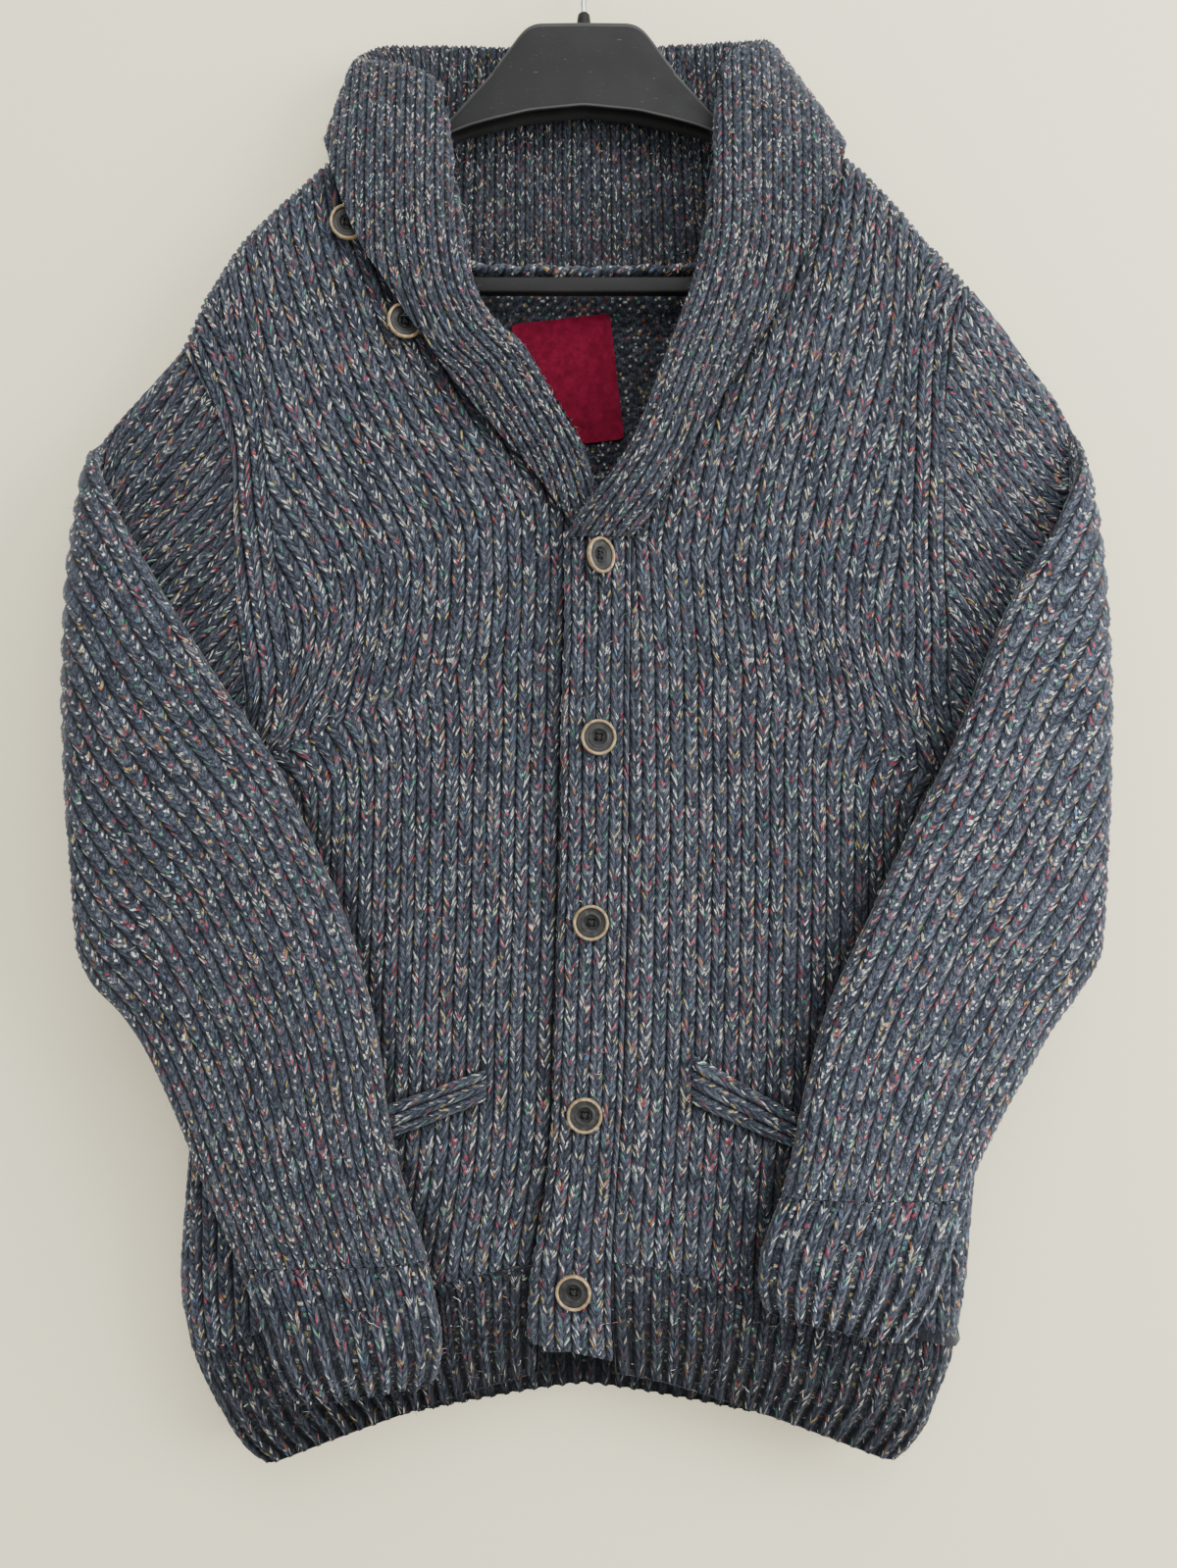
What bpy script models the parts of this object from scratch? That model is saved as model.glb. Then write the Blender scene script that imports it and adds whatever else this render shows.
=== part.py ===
"""Shawl collar cardigan in chunky marled knit, buttoned up, on a plastic hanger.

X runs to the viewer's right, -Y to the viewer, Z up. The origin is the inside top of the hanger's
hook. Sizes are in millimetres until a mesh is made. Left and right in names are the wearer's.
Cloth is a closed wall: a grid of outer points, and the same grid moved in by the wall's thickness.
"""

import math

import bmesh
import bpy
import numpy as np

MM = 0.001
GAP = 0.3
WALL = 3.6
RIB_WALL = 3.4
DEPTH = 16.0
EDGE_ROUND = 16.0
ON_SEAM = 0.5
TOUCH = 1e-3
RIGHT, LEFT = -1, 1

# Hem: rib joins and lower edges, as a height at the middle and a drop out to the side.
RIB_TOP_FRONT, RIB_TOP_FRONT_DROP = -752.0, 56.0
RIB_TOP_BACK, RIB_TOP_BACK_DROP = -773.0, 35.0
RIB_TOP_HALF = 224.0
HEM_FRONT, HEM_FRONT_DROP = -813.0, 60.0
HEM_BACK, HEM_BACK_DROP = -839.0, 34.0
HEM_HALF = 185.0
HEM_POWER = 1.25
RIB_PITCH = 10.4
RIB_RISE = 1.7

BAND_TOP = -350.0
BAND_BACK, BAND_FRONT = -16.7, -21.2
BAND_LIFT = 4.4
BAND_LIFT_REACH = 38.0
BAND_LAP = 6.0
BAND_GAP = 1.0

BUTTON_RADIUS = 10.0
BUTTON_THICK = 4.0
LABEL_SIZE = (58.0, 74.0)
LABEL_THICK = 0.8
LABEL_TURN = 6.6
LABEL_CORNER = 3.0
LABEL_TOP_LEFT = (-42.5, -218.5)

ROD_RADIUS = 1.6
HOOK_RADIUS = 19.0


def table(names, *rows):
    """Columns of numbers by name."""
    return dict(zip(names.split(), np.array(rows, float).T))


# Outlines, from the bottom up unless named otherwise; x is the distance out from the middle.
SIDE = {
    RIGHT: table(
        "x z",
        (224, -808),
        (230, -778),
        (229, -738),
        (226, -700),
        (228, -645),
        (226, -575),
        (213, -500),
    ),
    LEFT: table(
        "x z",
        (212, -808),
        (219, -765),
        (222, -728),
        (224, -700),
        (229, -650),
        (231, -575),
        (224, -500),
    ),
}
HEM_SIDE = {
    RIGHT: table("x z", (185, -873), (195, -864), (210, -840), (219, -822), (224, -808)),
    LEFT: table("x z", (180, -873), (194, -856), (205, -830), (209, -820), (212, -808)),
}
ARMHOLE = {  # from the shoulder point down to the underarm
    RIGHT: table(
        "x z",
        (229, -238),
        (214, -262),
        (200, -294),
        (196, -355),
        (194, -403),
        (190, -445),
        (194, -478),
        (213, -500),
    ),
    LEFT: table(
        "x z",
        (223, -206),
        (212, -226),
        (204, -262),
        (203, -310),
        (203, -359),
        (206, -405),
        (209, -462),
        (224, -500),
    ),
}
SHOULDER = {  # from the side of the neck out to the shoulder point
    RIGHT: table("x z", (98, -108), (141, -128), (166, -149), (195, -177), (214, -205), (229, -238)),
    LEFT: table("x z", (98, -108), (141, -124), (150, -129), (175, -152), (194, -174), (223, -206)),
}
NECKLINE = {  # front edge under the collar, from the top of the band to the side of the neck
    RIGHT: table(
        "x z",
        (5, -350),
        (7, -322),
        (24, -292),
        (42, -268),
        (62, -240),
        (77, -212),
        (88, -182),
        (96, -148),
        (98, -108),
    ),
    LEFT: table(
        "x z",
        (26, -350),
        (32, -328),
        (42, -298),
        (54, -272),
        (68, -245),
        (80, -215),
        (90, -185),
        (97, -148),
        (98, -108),
    ),
}
BACK_NECK = table(
    "x z", (98, -108), (98.5, -125), (97, -145), (88, -173), (70, -186), (38, -189), (0, -189.5)
)
BAND = table(  # free edge and seam of the buttonhole band, true x
    "z free seam",
    (-350, -10, 26),
    (-406, -11, 25.4),
    (-460, -12, 24.9),
    (-541, -13, 23.8),
    (-622, -15.6, 22.2),
    (-676, -17, 20),
    (-713, -21, 17.3),
    (-752, -28, 14.8),
    (-780, -30, 14.8),
    (-812, -31.5, 17.5),
)

# Sleeves: (ax, az) is the edge that starts at the shoulder point, (bx, bz) the one that starts at the
# underarm. turn is the way the tube has turned at its fold, armhole the share of the armhole's curve
# that a section keeps, bow the roundness of the fold.
SLEEVE_COLUMNS = "ax az bx bz y half turn armhole bow"
SLEEVE = {
    RIGHT: table(
        SLEEVE_COLUMNS,
        (229, -238, 213, -500, 0, 16, 0, 1, 0),
        (241, -252, 229, -517, 0, 14.5, 0, 0.75, 0),
        (256, -268, 249, -539, 0, 12.5, 0, 0.4, 1),
        (269, -283, 267, -554, -1, 10.5, 0, 0.1, 3),
        (275, -292, 274, -561, -4, 9, 28, 0, 5),
        (276, -299, 273, -567, -13, 8.5, 90, 0, 9),
        (271, -310, 274, -573, -23, 9, 150, 0, 9),
        (262, -327, 277, -577, -28, 10, 180, 0, 9),
        (240, -366, 275, -584, -31, 11, 180, 0, 7),
        (204, -424, 267, -598, -33, 11.5, 180, 0, 3),
        (172, -471, 253, -612, -33, 12, 180, 0, 0),
        (150, -515, 241, -629, -33, 12, 180, 0, 0),
        (130, -562, 230, -651, -33, 12, 180, 0, 0),
        (114, -620, 216, -684, -33, 11.5, 180, 0, 0),
        (106, -673, 205, -712, -33, 11, 180, 0, 0),
        (96, -715, 195, -734, -33, 11, 180, 0, 0),
        (86, -746, 188, -749, -33, 11, 180, 0, 0),
    ),
    LEFT: table(
        SLEEVE_COLUMNS,
        (223, -206, 224, -500, 0, 16, 0, 1, 0),
        (238, -224, 240, -515, 0, 14.5, 0, 0.75, 0),
        (255, -247, 258, -536, 0, 12.5, 0, 0.4, 1),
        (270, -268, 273, -551, -1, 10.5, 0, 0.1, 3),
        (277, -282, 279, -559, -4, 9, 28, 0, 5),
        (278, -296, 279, -566, -13, 8.5, 90, 0, 7),
        (275, -312, 281, -572, -23, 9, 150, 0, 8),
        (264, -337, 284, -577, -28, 10, 180, 0, 8),
        (234, -388, 279, -589, -31, 11, 180, 0, 6),
        (202, -466, 266, -607, -33, 11.5, 180, 0, 2),
        (178, -514, 256, -620, -33, 12, 180, 0, 0),
        (155, -563, 246, -637, -33, 12, 180, 0, 0),
        (135, -607, 235, -656, -33, 11.5, 180, 0, 0),
        (122, -650, 224, -677, -33, 11, 180, 0, 0),
        (115, -687, 214, -697, -33, 11, 180, 0, 0),
        (109, -711, 209, -712, -33, 11, 180, 0, 0),
    ),
}
CUFF = {
    RIGHT: table(
        "ax az bx bz y half",
        (86, -746.3, 188, -749.3, -33, 11),
        (80, -775, 178, -773, -33, 11.5),
        (78, -800, 166, -808, -33, 11),
        (81, -812, 157, -824, -33, 10),
    ),
    LEFT: table(
        "ax az bx bz y half",
        (109, -711.3, 209, -712.3, -33, 11),
        (99, -738, 201, -738, -33, 11.5),
        (96, -760, 192, -766, -33, 11),
        (99, -774, 177, -791, -33, 10),
    ),
}
CUFF_RIBS = 20
CUFF_RINGS = 3

# Collar: (rx, ry, rz) is the top of its roll, (ox, oy, oz) its outer edge, and seam where it is sewn
# on, 0 to 1 along the front's neckline and 1 to 2 along the back's. turn is 0 where its outer layer
# faces the viewer and 180 where it faces the wall, tilt is 90 where the roll is uppermost.
COLLAR_COLUMNS = "rx ry rz seam ox oy oz turn tilt roll wall"
COLLAR = {
    RIGHT: table(
        COLLAR_COLUMNS,
        (-8, -16.9, -327, 0.08, 6, -18.2, -342, 0, 40, 1.9, 2.2),
        (5, -17.8, -301, 0.19, 29, -20.0, -311, 0, 30, 2.8, 2.8),
        (27, -20, -272, 0.33, 54, -22.0, -284, 0, 25, 4.2, 3.4),
        (42, -21, -241, 0.46, 80, -23.5, -252, 0, 22, 5.0, 3.4),
        (54, -21, -225, 0.52, 88, -24.0, -240, 0, 20, 5.2, 3.4),
        (61, -21, -211, 0.58, 97, -24.5, -228, 0, 18, 5.2, 3.4),
        (67, -21, -180, 0.70, 110, -24.5, -208, 0, 12, 5.4, 3.4),
        (73, -21, -145, 0.82, 121, -24.5, -192, 0, 10, 5.4, 3.4),
        (77, -19, -115, 0.93, 129, -24, -176, 0, 25, 5.4, 3.4),
        (86, -17, -91, 0.97, 135, -24, -160, 0, 60, 5.0, 3.4),
        (102, -14, -79, 0.99, 140, -20, -144, 15, 80, 5.0, 3.4),
        (119, -9, -74, 1.0, 145, -11, -127, 45, 90, 4.6, 3.4),
        (127, 1, -67.5, 1.02, 147, 3, -121, 90, 90, 4.0, 3.4),
        (119, 11, -60.5, 1.06, 143, 20, -132, 150, 90, 3.4, 3.4),
        (95, 15, -56.5, 1.26, 120, 22, -162, 180, 90, 3.3, 3.4),
        (60, 17.2, -57.5, 1.6, 74, 22, -181, 180, 90, 3.3, 3.4),
    ),
    LEFT: table(
        COLLAR_COLUMNS,
        (-10, -20, -349.2, 0.0, 27, -23, -349.2, 0, 0, 2.0, 2.2),
        (-3, -24, -338, 0.06, 33, -24, -343, 0, 10, 3.0, 2.6),
        (9, -26, -324, 0.10, 41, -24.5, -331, 0, 20, 4.2, 3.0),
        (30, -26, -293, 0.23, 58, -23.5, -300, 0, 22, 5.0, 3.4),
        (42, -24, -261, 0.37, 76, -22.5, -272, 0, 22, 5.4, 3.4),
        (52, -22, -234, 0.49, 93, -21.5, -246, 0, 20, 5.4, 3.4),
        (62, -21, -207, 0.60, 107, -21, -224, 0, 16, 5.4, 3.4),
        (68, -21, -180, 0.70, 119, -20.5, -200, 0, 12, 5.4, 3.4),
        (73, -21, -137, 0.84, 131, -20.5, -177, 0, 10, 5.4, 3.4),
        (76, -19, -103, 0.95, 138, -22, -160, 0, 30, 5.4, 3.4),
        (84, -16, -79, 0.98, 143, -20, -145, 10, 70, 5.0, 3.4),
        (101, -9, -68, 1.0, 147, -11.5, -126.5, 45, 88, 4.6, 3.4),
        (112, 2, -62, 1.02, 149, 4, -120, 90, 90, 4.0, 3.4),
        (106, 12, -54.5, 1.08, 145, 20, -131, 150, 90, 3.4, 3.4),
        (87, 15, -55, 1.32, 120, 22, -161, 180, 90, 3.3, 3.4),
        (56, 17.2, -56.5, 1.6, 70, 22, -181, 180, 90, 3.3, 3.4),
    ),
}
COLLAR_MIDDLE = (0, 17.4, -57.5, 2.0, 0, 22, -186, 180, 90, 3.3, 3.4)
COLLAR_RIBS = 20
SEAM_SHIFT = table(  # how far in from the neckline the collar's middle line starts
    "place shift",
    (0.0, 2.0),
    (0.2, 2.4),
    (0.36, 5.2),
    (0.55, 2.4),
    (0.9, 2.4),
    (1.0, 4.6),
    (1.12, 6.3),
    (1.3, 6.6),
    (1.45, 3.6),
    (2.0, 2.3),
)
LAPEL_STATIONS = 15
BACK_START = 14  # collar station, from each end, where the ribs across the back begin

WELT = {  # ends of its upper and lower edges, distance out and height
    RIGHT: table("x upper lower", (55, -646.5, -664.5), (112, -667, -687), (142, -677, -697)),
    LEFT: table("x upper lower", (61, -637.5, -667), (119, -671, -692), (146, -684, -703)),
}
FRONT_BUTTONS = table(
    "x z yaw", (8, -361, 38), (8, -461, 8), (4, -564, 0), (0.5, -671, 0), (-5.5, -769, -6)
)
COLLAR_BUTTONS = table("x z yaw", (-132, -173, 6), (-100, -228.5, 14))

# Hanger body: upper and lower edge, and thickness, against the distance from the middle.
HANGER = table(
    "x top bottom thick",
    (0, -55, -101.8, 14),
    (27, -55.4, -104.4, 14),
    (33, -58, -105.3, 14),
    (37, -62.5, -106.3, 14),
    (53, -84, -110, 14),
    (65, -96.5, -113, 13.5),
    (76, -108, -117, 13),
    (100, -122, -132, 12),
    (140, -145.5, -157, 12),
    (172, -164.5, -175, 12),
    (180, -170.5, -178, 9),
)
HANGER_MIDDLE_Y = -1.0
BAR_Z = -201.5
BAR_HALF = 4.0
BAR_END = 152.0
BAR_BEND = 14.0


# Curves

def distances(points):
    steps = np.linalg.norm(np.diff(points, axis=0), axis=1)
    return np.concatenate([[0.0], np.cumsum(steps)])


def smooth(knots, values, at):
    """Cubic curve through rows of values at the knots."""
    knots, values, at = np.asarray(knots, float), np.asarray(values, float), np.asarray(at, float)
    if values.ndim == 1:
        return smooth(knots, values[:, None], at)[:, 0]
    step = np.diff(knots)[:, None]
    slope = np.diff(values, axis=0) / step
    tangent = np.empty_like(values)
    tangent[0], tangent[-1] = slope[0], slope[-1]
    tangent[1:-1] = (slope[:-1] * step[1:] + slope[1:] * step[:-1]) / (step[:-1] + step[1:])
    i = np.clip(np.searchsorted(knots, at, side="right") - 1, 0, len(knots) - 2)
    h = step[i]
    s = ((at - knots[i])[:, None]) / h
    return (
        values[i] * (1 + 2 * s) * (1 - s) ** 2
        + tangent[i] * h * s * (1 - s) ** 2
        + values[i + 1] * s**2 * (3 - 2 * s)
        + tangent[i + 1] * h * s**2 * (s - 1)
    )


def outline(rows, side, at, shift=0.0):
    """XZ points of an outline table at fractions of its length, moved out by shift."""
    points = np.stack([rows["x"], rows["z"]], axis=1)
    length = distances(points)
    found = smooth(length / length[-1], points, at)
    found[:, 0] = (found[:, 0] + shift) * side
    return found


def drop(x, middle, fall, half):
    """Height of a hem line that falls from the middle to the sides."""
    return middle - fall * (np.abs(x) / half) ** HEM_POWER


def segment_distance(points, line):
    """Distance of XZ points to a polyline."""
    a, b = line[:-1], line[1:]
    along = b - a
    offset = points[..., None, :] - a
    t = np.clip((offset * along).sum(-1) / (along**2).sum(-1), 0.0, 1.0)
    return np.linalg.norm(offset - t[..., None] * along, axis=-1).min(-1)


def mid_seam(side):
    """The line where front and back meet: hem corner to underarm, and shoulder."""
    many = np.linspace(0, 1, 60)
    lower = np.vstack([outline(HEM_SIDE[side], side, many), outline(SIDE[side], side, many)[1:]])
    return lower, outline(SHOULDER[side], side, many)


MID_SEAMS = {side: mid_seam(side) for side in (RIGHT, LEFT)}


def roundness(points, side):
    """0 on the seam between front and back, 1 a little way in from it."""
    lower, shoulder = MID_SEAMS[side]
    reach = np.minimum(segment_distance(points, lower), segment_distance(points, shoulder))
    inward = 1 - np.clip((reach - ON_SEAM) / EDGE_ROUND, 0.0, 1.0)
    return np.sqrt(np.clip(1 - inward**2, 0.0, 1.0))


def band_x(name, z):
    order = np.argsort(BAND["z"])
    return smooth(BAND["z"][order], BAND[name][order], np.clip(z, -812, -350))


def front_y(points, side):
    """Depth of a front's outer face: its roundness, and its lift beside the buttonhole band."""
    y = -(GAP / 2 + (DEPTH - GAP / 2) * roundness(points, side))
    if side == LEFT:
        x, z = points[..., 0], points[..., 1]
        edge = np.where(z > BAND_TOP, neck_x(z), band_x("seam", z.ravel()).reshape(z.shape))
        near = 1 - np.clip((x - edge) / BAND_LIFT_REACH, 0.0, 1.0)
        height = np.clip((-250.0 - z) / 80.0, 0.0, 1.0)
        y = y - BAND_LIFT * near**2 * height
    return y


def neck_x(z):
    rows = NECKLINE[LEFT]
    return np.interp(z, rows["z"], rows["x"])


def back_y(points, side):
    folds = 1.2 * np.cos(points[..., 0] / 34.0) * np.clip((-300.0 - points[..., 1]) / 300.0, 0, 1)
    return GAP / 2 + (DEPTH - GAP / 2 + folds) * roundness(points, side)


def with_y(points, y):
    return np.stack([points[..., 0], y, points[..., 1]], axis=-1)


# Surfaces

def coons(bottom, top, first, last, u, v):
    """Grid of XZ points between four edges: bottom and top at u, first and last at v."""
    u, v = u[None, :, None], v[:, None, None]
    across = (1 - v) * bottom[None] + v * top[None]
    along = (1 - u) * first[:, None] + u * last[:, None]
    corners = (1 - v) * ((1 - u) * bottom[0] + u * bottom[-1]) + v * ((1 - u) * top[0] + u * top[-1])
    return across + along - corners


def normals(grid, around=False):
    """Unit normals of a grid of points, by differences."""
    if around:
        wrapped = np.concatenate([grid[:, -1:], grid, grid[:, :1]], axis=1)
        across = wrapped[:, 2:] - wrapped[:, :-2]
    else:
        across = np.gradient(grid, axis=1)
    n = np.cross(np.gradient(grid, axis=0), across)
    return n / np.maximum(np.linalg.norm(n, axis=-1, keepdims=True), 1e-9)


def slab(name, outer, inner, around=False):
    """Closed mesh between two grids of the same size; around joins the last column to the first."""
    rows, cols = outer.shape[:2]
    verts = np.concatenate([outer.reshape(-1, 3), inner.reshape(-1, 3)])
    faces = []
    last = cols if around else cols - 1
    base = rows * cols
    for r in range(rows - 1):
        for c in range(last):
            n = (c + 1) % cols
            a, b, d, e = r * cols + c, r * cols + n, (r + 1) * cols + n, (r + 1) * cols + c
            faces.append((a, b, d, e))
            faces.append((base + e, base + d, base + b, base + a))
    for r, flip in ((0, True), (rows - 1, False)):
        for c in range(last):
            a, b = r * cols + c, r * cols + (c + 1) % cols
            faces.append((base + a, base + b, b, a) if flip else (a, b, base + b, base + a))
    if not around:
        for c, flip in ((0, False), (cols - 1, True)):
            for r in range(rows - 1):
                a, b = r * cols + c, (r + 1) * cols + c
                faces.append((base + a, base + b, b, a) if flip else (a, b, base + b, base + a))
    return solid(name, verts, faces)


def solid(name, verts, faces):
    """Object with its faces turned out, in metres."""
    mesh = bpy.data.meshes.new(name)
    mesh.from_pydata([tuple(v) for v in np.asarray(verts) * MM], [], faces)
    shape = bmesh.new()
    shape.from_mesh(mesh)
    bmesh.ops.recalc_face_normals(shape, faces=shape.faces)
    if shape.calc_volume(signed=True) < 0:
        bmesh.ops.reverse_faces(shape, faces=shape.faces)
    bmesh.ops.triangulate(shape, faces=shape.faces)
    shape.to_mesh(mesh)
    shape.free()
    mesh.shade_smooth()
    mesh.set_sharp_from_angle(angle=math.radians(50))
    found = bpy.data.objects.new(name, mesh)
    bpy.context.scene.collection.objects.link(found)
    return found


def material(name, colour, roughness, metallic=0.0):
    found = bpy.data.materials.get(name)
    if found is None:
        found = bpy.data.materials.new(name)
        found.use_nodes = True
        shader = found.node_tree.nodes["Principled BSDF"]
        shader.inputs["Base Color"].default_value = (*colour, 1.0)
        shader.inputs["Roughness"].default_value = roughness
        shader.inputs["Metallic"].default_value = metallic
    return found


def finish(piece, kind):
    piece.data.materials.append(material(*MATERIALS[kind]))
    return piece


MATERIALS = {
    "knit": ("marled_knit", (0.09, 0.095, 0.11), 0.95),
    "horn": ("button_horn", (0.02, 0.022, 0.022), 0.4),
    "woven": ("label_woven", (0.2, 0.02, 0.045), 0.8),
    "plastic": ("hanger_plastic", (0.035, 0.036, 0.037), 0.5),
    "steel": ("hook_steel", (0.6, 0.6, 0.6), 0.3, 1.0),
}


# Body panels

ARM_STEPS = 10
ARM_ANGLES = np.linspace(0, math.pi, ARM_STEPS)
ARM_POWER = 0.8


def arm_fraction(angle):
    """Place along a flattened tube's width, 0 to 1, at an angle round it."""
    c = np.cos(angle)
    return (1 - np.sign(c) * np.abs(c) ** ARM_POWER) / 2


UNDERARM_V = 0.53
PLACKET_V = 0.62
FRONT_COLUMNS, FRONT_WIDTH = 8, 210.0
BACK_WIDTH = 215.0
NECK_SHARE = 0.42
BODY_ROWS = 8
EDGE_STEPS = np.array([0.0, 0.07, 0.28, 0.62, 1.0])


def panel_rows():
    """Fractions up a panel: even to the underarm, then one for each step round the armhole."""
    below = np.linspace(0, UNDERARM_V, BODY_ROWS)[:-1]
    above = UNDERARM_V + (1 - UNDERARM_V) * (1 - arm_fraction(ARM_ANGLES))[::-1]
    return below, above


def outer_edge(side):
    """Side seam and armhole of a panel, from the hem rib up, at panel_rows."""
    below, above = panel_rows()
    lower = outline(SIDE[side], side, below / UNDERARM_V)
    upper = outline(ARMHOLE[side], side, arm_fraction(ARM_ANGLES)[::-1], -GAP / 2)
    upper[0], upper[-1] = outline(SIDE[side], side, [1.0])[0], outline(SHOULDER[side], side, [1.0])[0]
    return np.vstack([lower, upper])


def columns_out(count, width):
    """Fractions across a panel, close together near its outer edge."""
    edge = 1 - EDGE_STEPS[::-1] * EDGE_ROUND / width
    return np.concatenate([np.linspace(0, edge[0], count, endpoint=False), edge])


def armhole_inside(side, facing):
    """Inner points along the armhole, from the underarm up, level with the sleeve's own."""
    ends = outline(ARMHOLE[side], side, [0.0, 1.0])
    inset = WALL / np.linalg.norm(ends[0] - ends[1])
    at = (inset + arm_fraction(ARM_ANGLES) * (1 - 2 * inset))[::-1]
    depth = facing * np.maximum((DEPTH - WALL) * arm_profile(side)[:ARM_STEPS][::-1], GAP / 2)
    return with_y(outline(ARMHOLE[side], side, at, -GAP / 2), depth)


def wall(name, outer, seam, facing, thick, relief=None, armholes=()):
    """Closed wall behind a grid of outer points; seam is true where front and back meet."""
    n = normals(outer)
    n = n * np.sign((n[..., 1] * facing).mean())
    inner = outer - n * thick
    inner[..., 1] = facing * np.maximum(facing * inner[..., 1], GAP / 2)
    inner[seam, 1] = facing * GAP / 2
    for row in (0, -1):
        level = ~seam[row] if seam[row].sum() > 2 else np.full(seam.shape[1], True)
        inner[row, level, 2] = outer[row, level, 2]
    for column, points in armholes:
        inner[-ARM_STEPS:, column] = points
    if relief is not None:
        outer = outer + n * relief * np.array([1.0, 1.0, 0.0])
    return slab(name, outer, inner)


def joined(right, left):
    """One grid from two halves whose columns run outward from the middle."""
    return np.concatenate([right[:, ::-1], left[:, 1:]], axis=1)


def placket_edge(side, z):
    """Front edge of a front: the right one runs under the buttonhole band, the left one ends beside it."""
    if side == RIGHT:
        return np.stack([band_x("free", z) + BAND_LAP, z], axis=1)
    return np.stack([band_x("seam", z) + BAND_GAP, z], axis=1)


def front(side):
    """One front, from its hem rib to the shoulder."""
    below, above = panel_rows()
    v = np.concatenate([below, above])
    u = columns_out(FRONT_COLUMNS, FRONT_WIDTH)
    straight_rows = v <= PLACKET_V
    z = RIB_TOP_FRONT + (BAND_TOP - RIB_TOP_FRONT) * v[straight_rows] / PLACKET_V
    neck = outline(NECKLINE[side], side, (v[~straight_rows] - PLACKET_V) / (1 - PLACKET_V))
    first = np.vstack([placket_edge(side, z), neck])
    last = outer_edge(side)
    x = first[0, 0] + (last[0, 0] - first[0, 0]) * u
    bottom = np.stack([x, drop(x, RIB_TOP_FRONT, RIB_TOP_FRONT_DROP, RIB_TOP_HALF)], axis=1)
    first[0], last[0] = bottom[0], bottom[-1]
    top = outline(SHOULDER[side], side, u)
    top[0], top[-1] = first[-1], last[-1]
    points = coons(bottom, top, first, last, u, v)
    outer = with_y(points, front_y(points, side))
    armholes = [(-1, armhole_inside(side, -1))]
    seam = roundness(points, side) < TOUCH
    return wall(f"front_{SIDE_NAMES[side]}", outer, seam, -1, WALL, armholes=armholes)


SIDE_NAMES = {RIGHT: "right", LEFT: "left"}


def back():
    """The whole back, worked out as two halves on one grid."""
    below, above = panel_rows()
    v = np.concatenate([below, above])
    edge = 1 - EDGE_STEPS[::-1] * EDGE_ROUND / BACK_WIDTH
    half = np.concatenate([np.linspace(0, NECK_SHARE, 7), np.linspace(NECK_SHARE, edge[0], 5)[1:-1], edge])
    halves = []
    for side in (RIGHT, LEFT):
        last = outer_edge(side)
        x = last[0, 0] * half
        bottom = np.stack([x, drop(x, RIB_TOP_BACK, RIB_TOP_BACK_DROP, RIB_TOP_HALF)], axis=1)
        last[0] = bottom[-1]
        first = np.stack([np.zeros(len(v)), bottom[0, 1] + (BACK_NECK["z"][-1] - bottom[0, 1]) * v], 1)
        on_neck = half < NECK_SHARE + TOUCH
        neck = outline(BACK_NECK, side, 1 - half[on_neck] / NECK_SHARE)
        shoulder = outline(SHOULDER[side], side, (half[~on_neck] - NECK_SHARE) / (1 - NECK_SHARE))
        top = np.vstack([neck, shoulder])
        top[0], top[-1] = first[-1], last[-1]
        halves.append(coons(bottom, top, first, last, half, v))
    outer = joined(with_y(halves[0], back_y(halves[0], RIGHT)), with_y(halves[1], back_y(halves[1], LEFT)))
    seam = joined(roundness(halves[0], RIGHT), roundness(halves[1], LEFT)) < TOUCH
    armholes = [(0, armhole_inside(RIGHT, 1)), (-1, armhole_inside(LEFT, 1))]
    return wall("back", outer, seam, 1, WALL, armholes=armholes)


# Ribs

def rib_columns(count):
    """Fractions across a ribbed strip, and the height of each: two on the rib, one in the groove."""
    at, rise = [], []
    for i in range(count):
        for place, height in ((0.0, 0.0), (0.3, 1.0), (0.7, 1.0)):
            at.append((i + place) / count)
            rise.append(height)
    return np.array(at + [1.0]), np.array(rise + [0.0])


HEM_ROWS = np.array([0.0, 0.12, 1.0])


def hem_front(side):
    v = HEM_ROWS
    first = placket_edge(side, HEM_FRONT + (RIB_TOP_FRONT - HEM_FRONT) * v)
    count = round(abs(RIB_TOP_HALF * side - first[0, 0]) / RIB_PITCH)
    u, rise = rib_columns(count)
    corner, top_corner = outline(HEM_SIDE[side], side, [0.0, 1.0])
    low_x = first[0, 0] + (corner[0] - first[0, 0]) * u
    high_x = first[-1, 0] + (top_corner[0] - first[-1, 0]) * u
    low = np.stack([low_x, drop(low_x, HEM_FRONT, HEM_FRONT_DROP, HEM_HALF)], axis=1)
    low[-1] = corner
    high = np.stack([high_x, drop(high_x, RIB_TOP_FRONT, RIB_TOP_FRONT_DROP, RIB_TOP_HALF) - GAP], axis=1)
    last = outline(HEM_SIDE[side], side, v)
    last[0], last[-1] = low[-1], high[-1]
    first[0], first[-1] = low[0], high[0]
    points = coons(low, high, first, last, u, v)
    relief = rise_grid(rise, v)
    if side == RIGHT:
        relief[points[..., 0] > band_x("free", points[..., 1].ravel()).reshape(points.shape[:2]) - 3.0] = 0
    outer = with_y(points, front_y(points, side))
    seam = roundness(points, side) < TOUCH
    return wall(f"hem_front_{SIDE_NAMES[side]}", outer, seam, -1, RIB_WALL, relief)


def rise_grid(rise, v):
    fade = np.where(v > 0.95, 0.35, 1.0)
    return (RIB_RISE * rise[None] * fade[:, None])[..., None]


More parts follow.
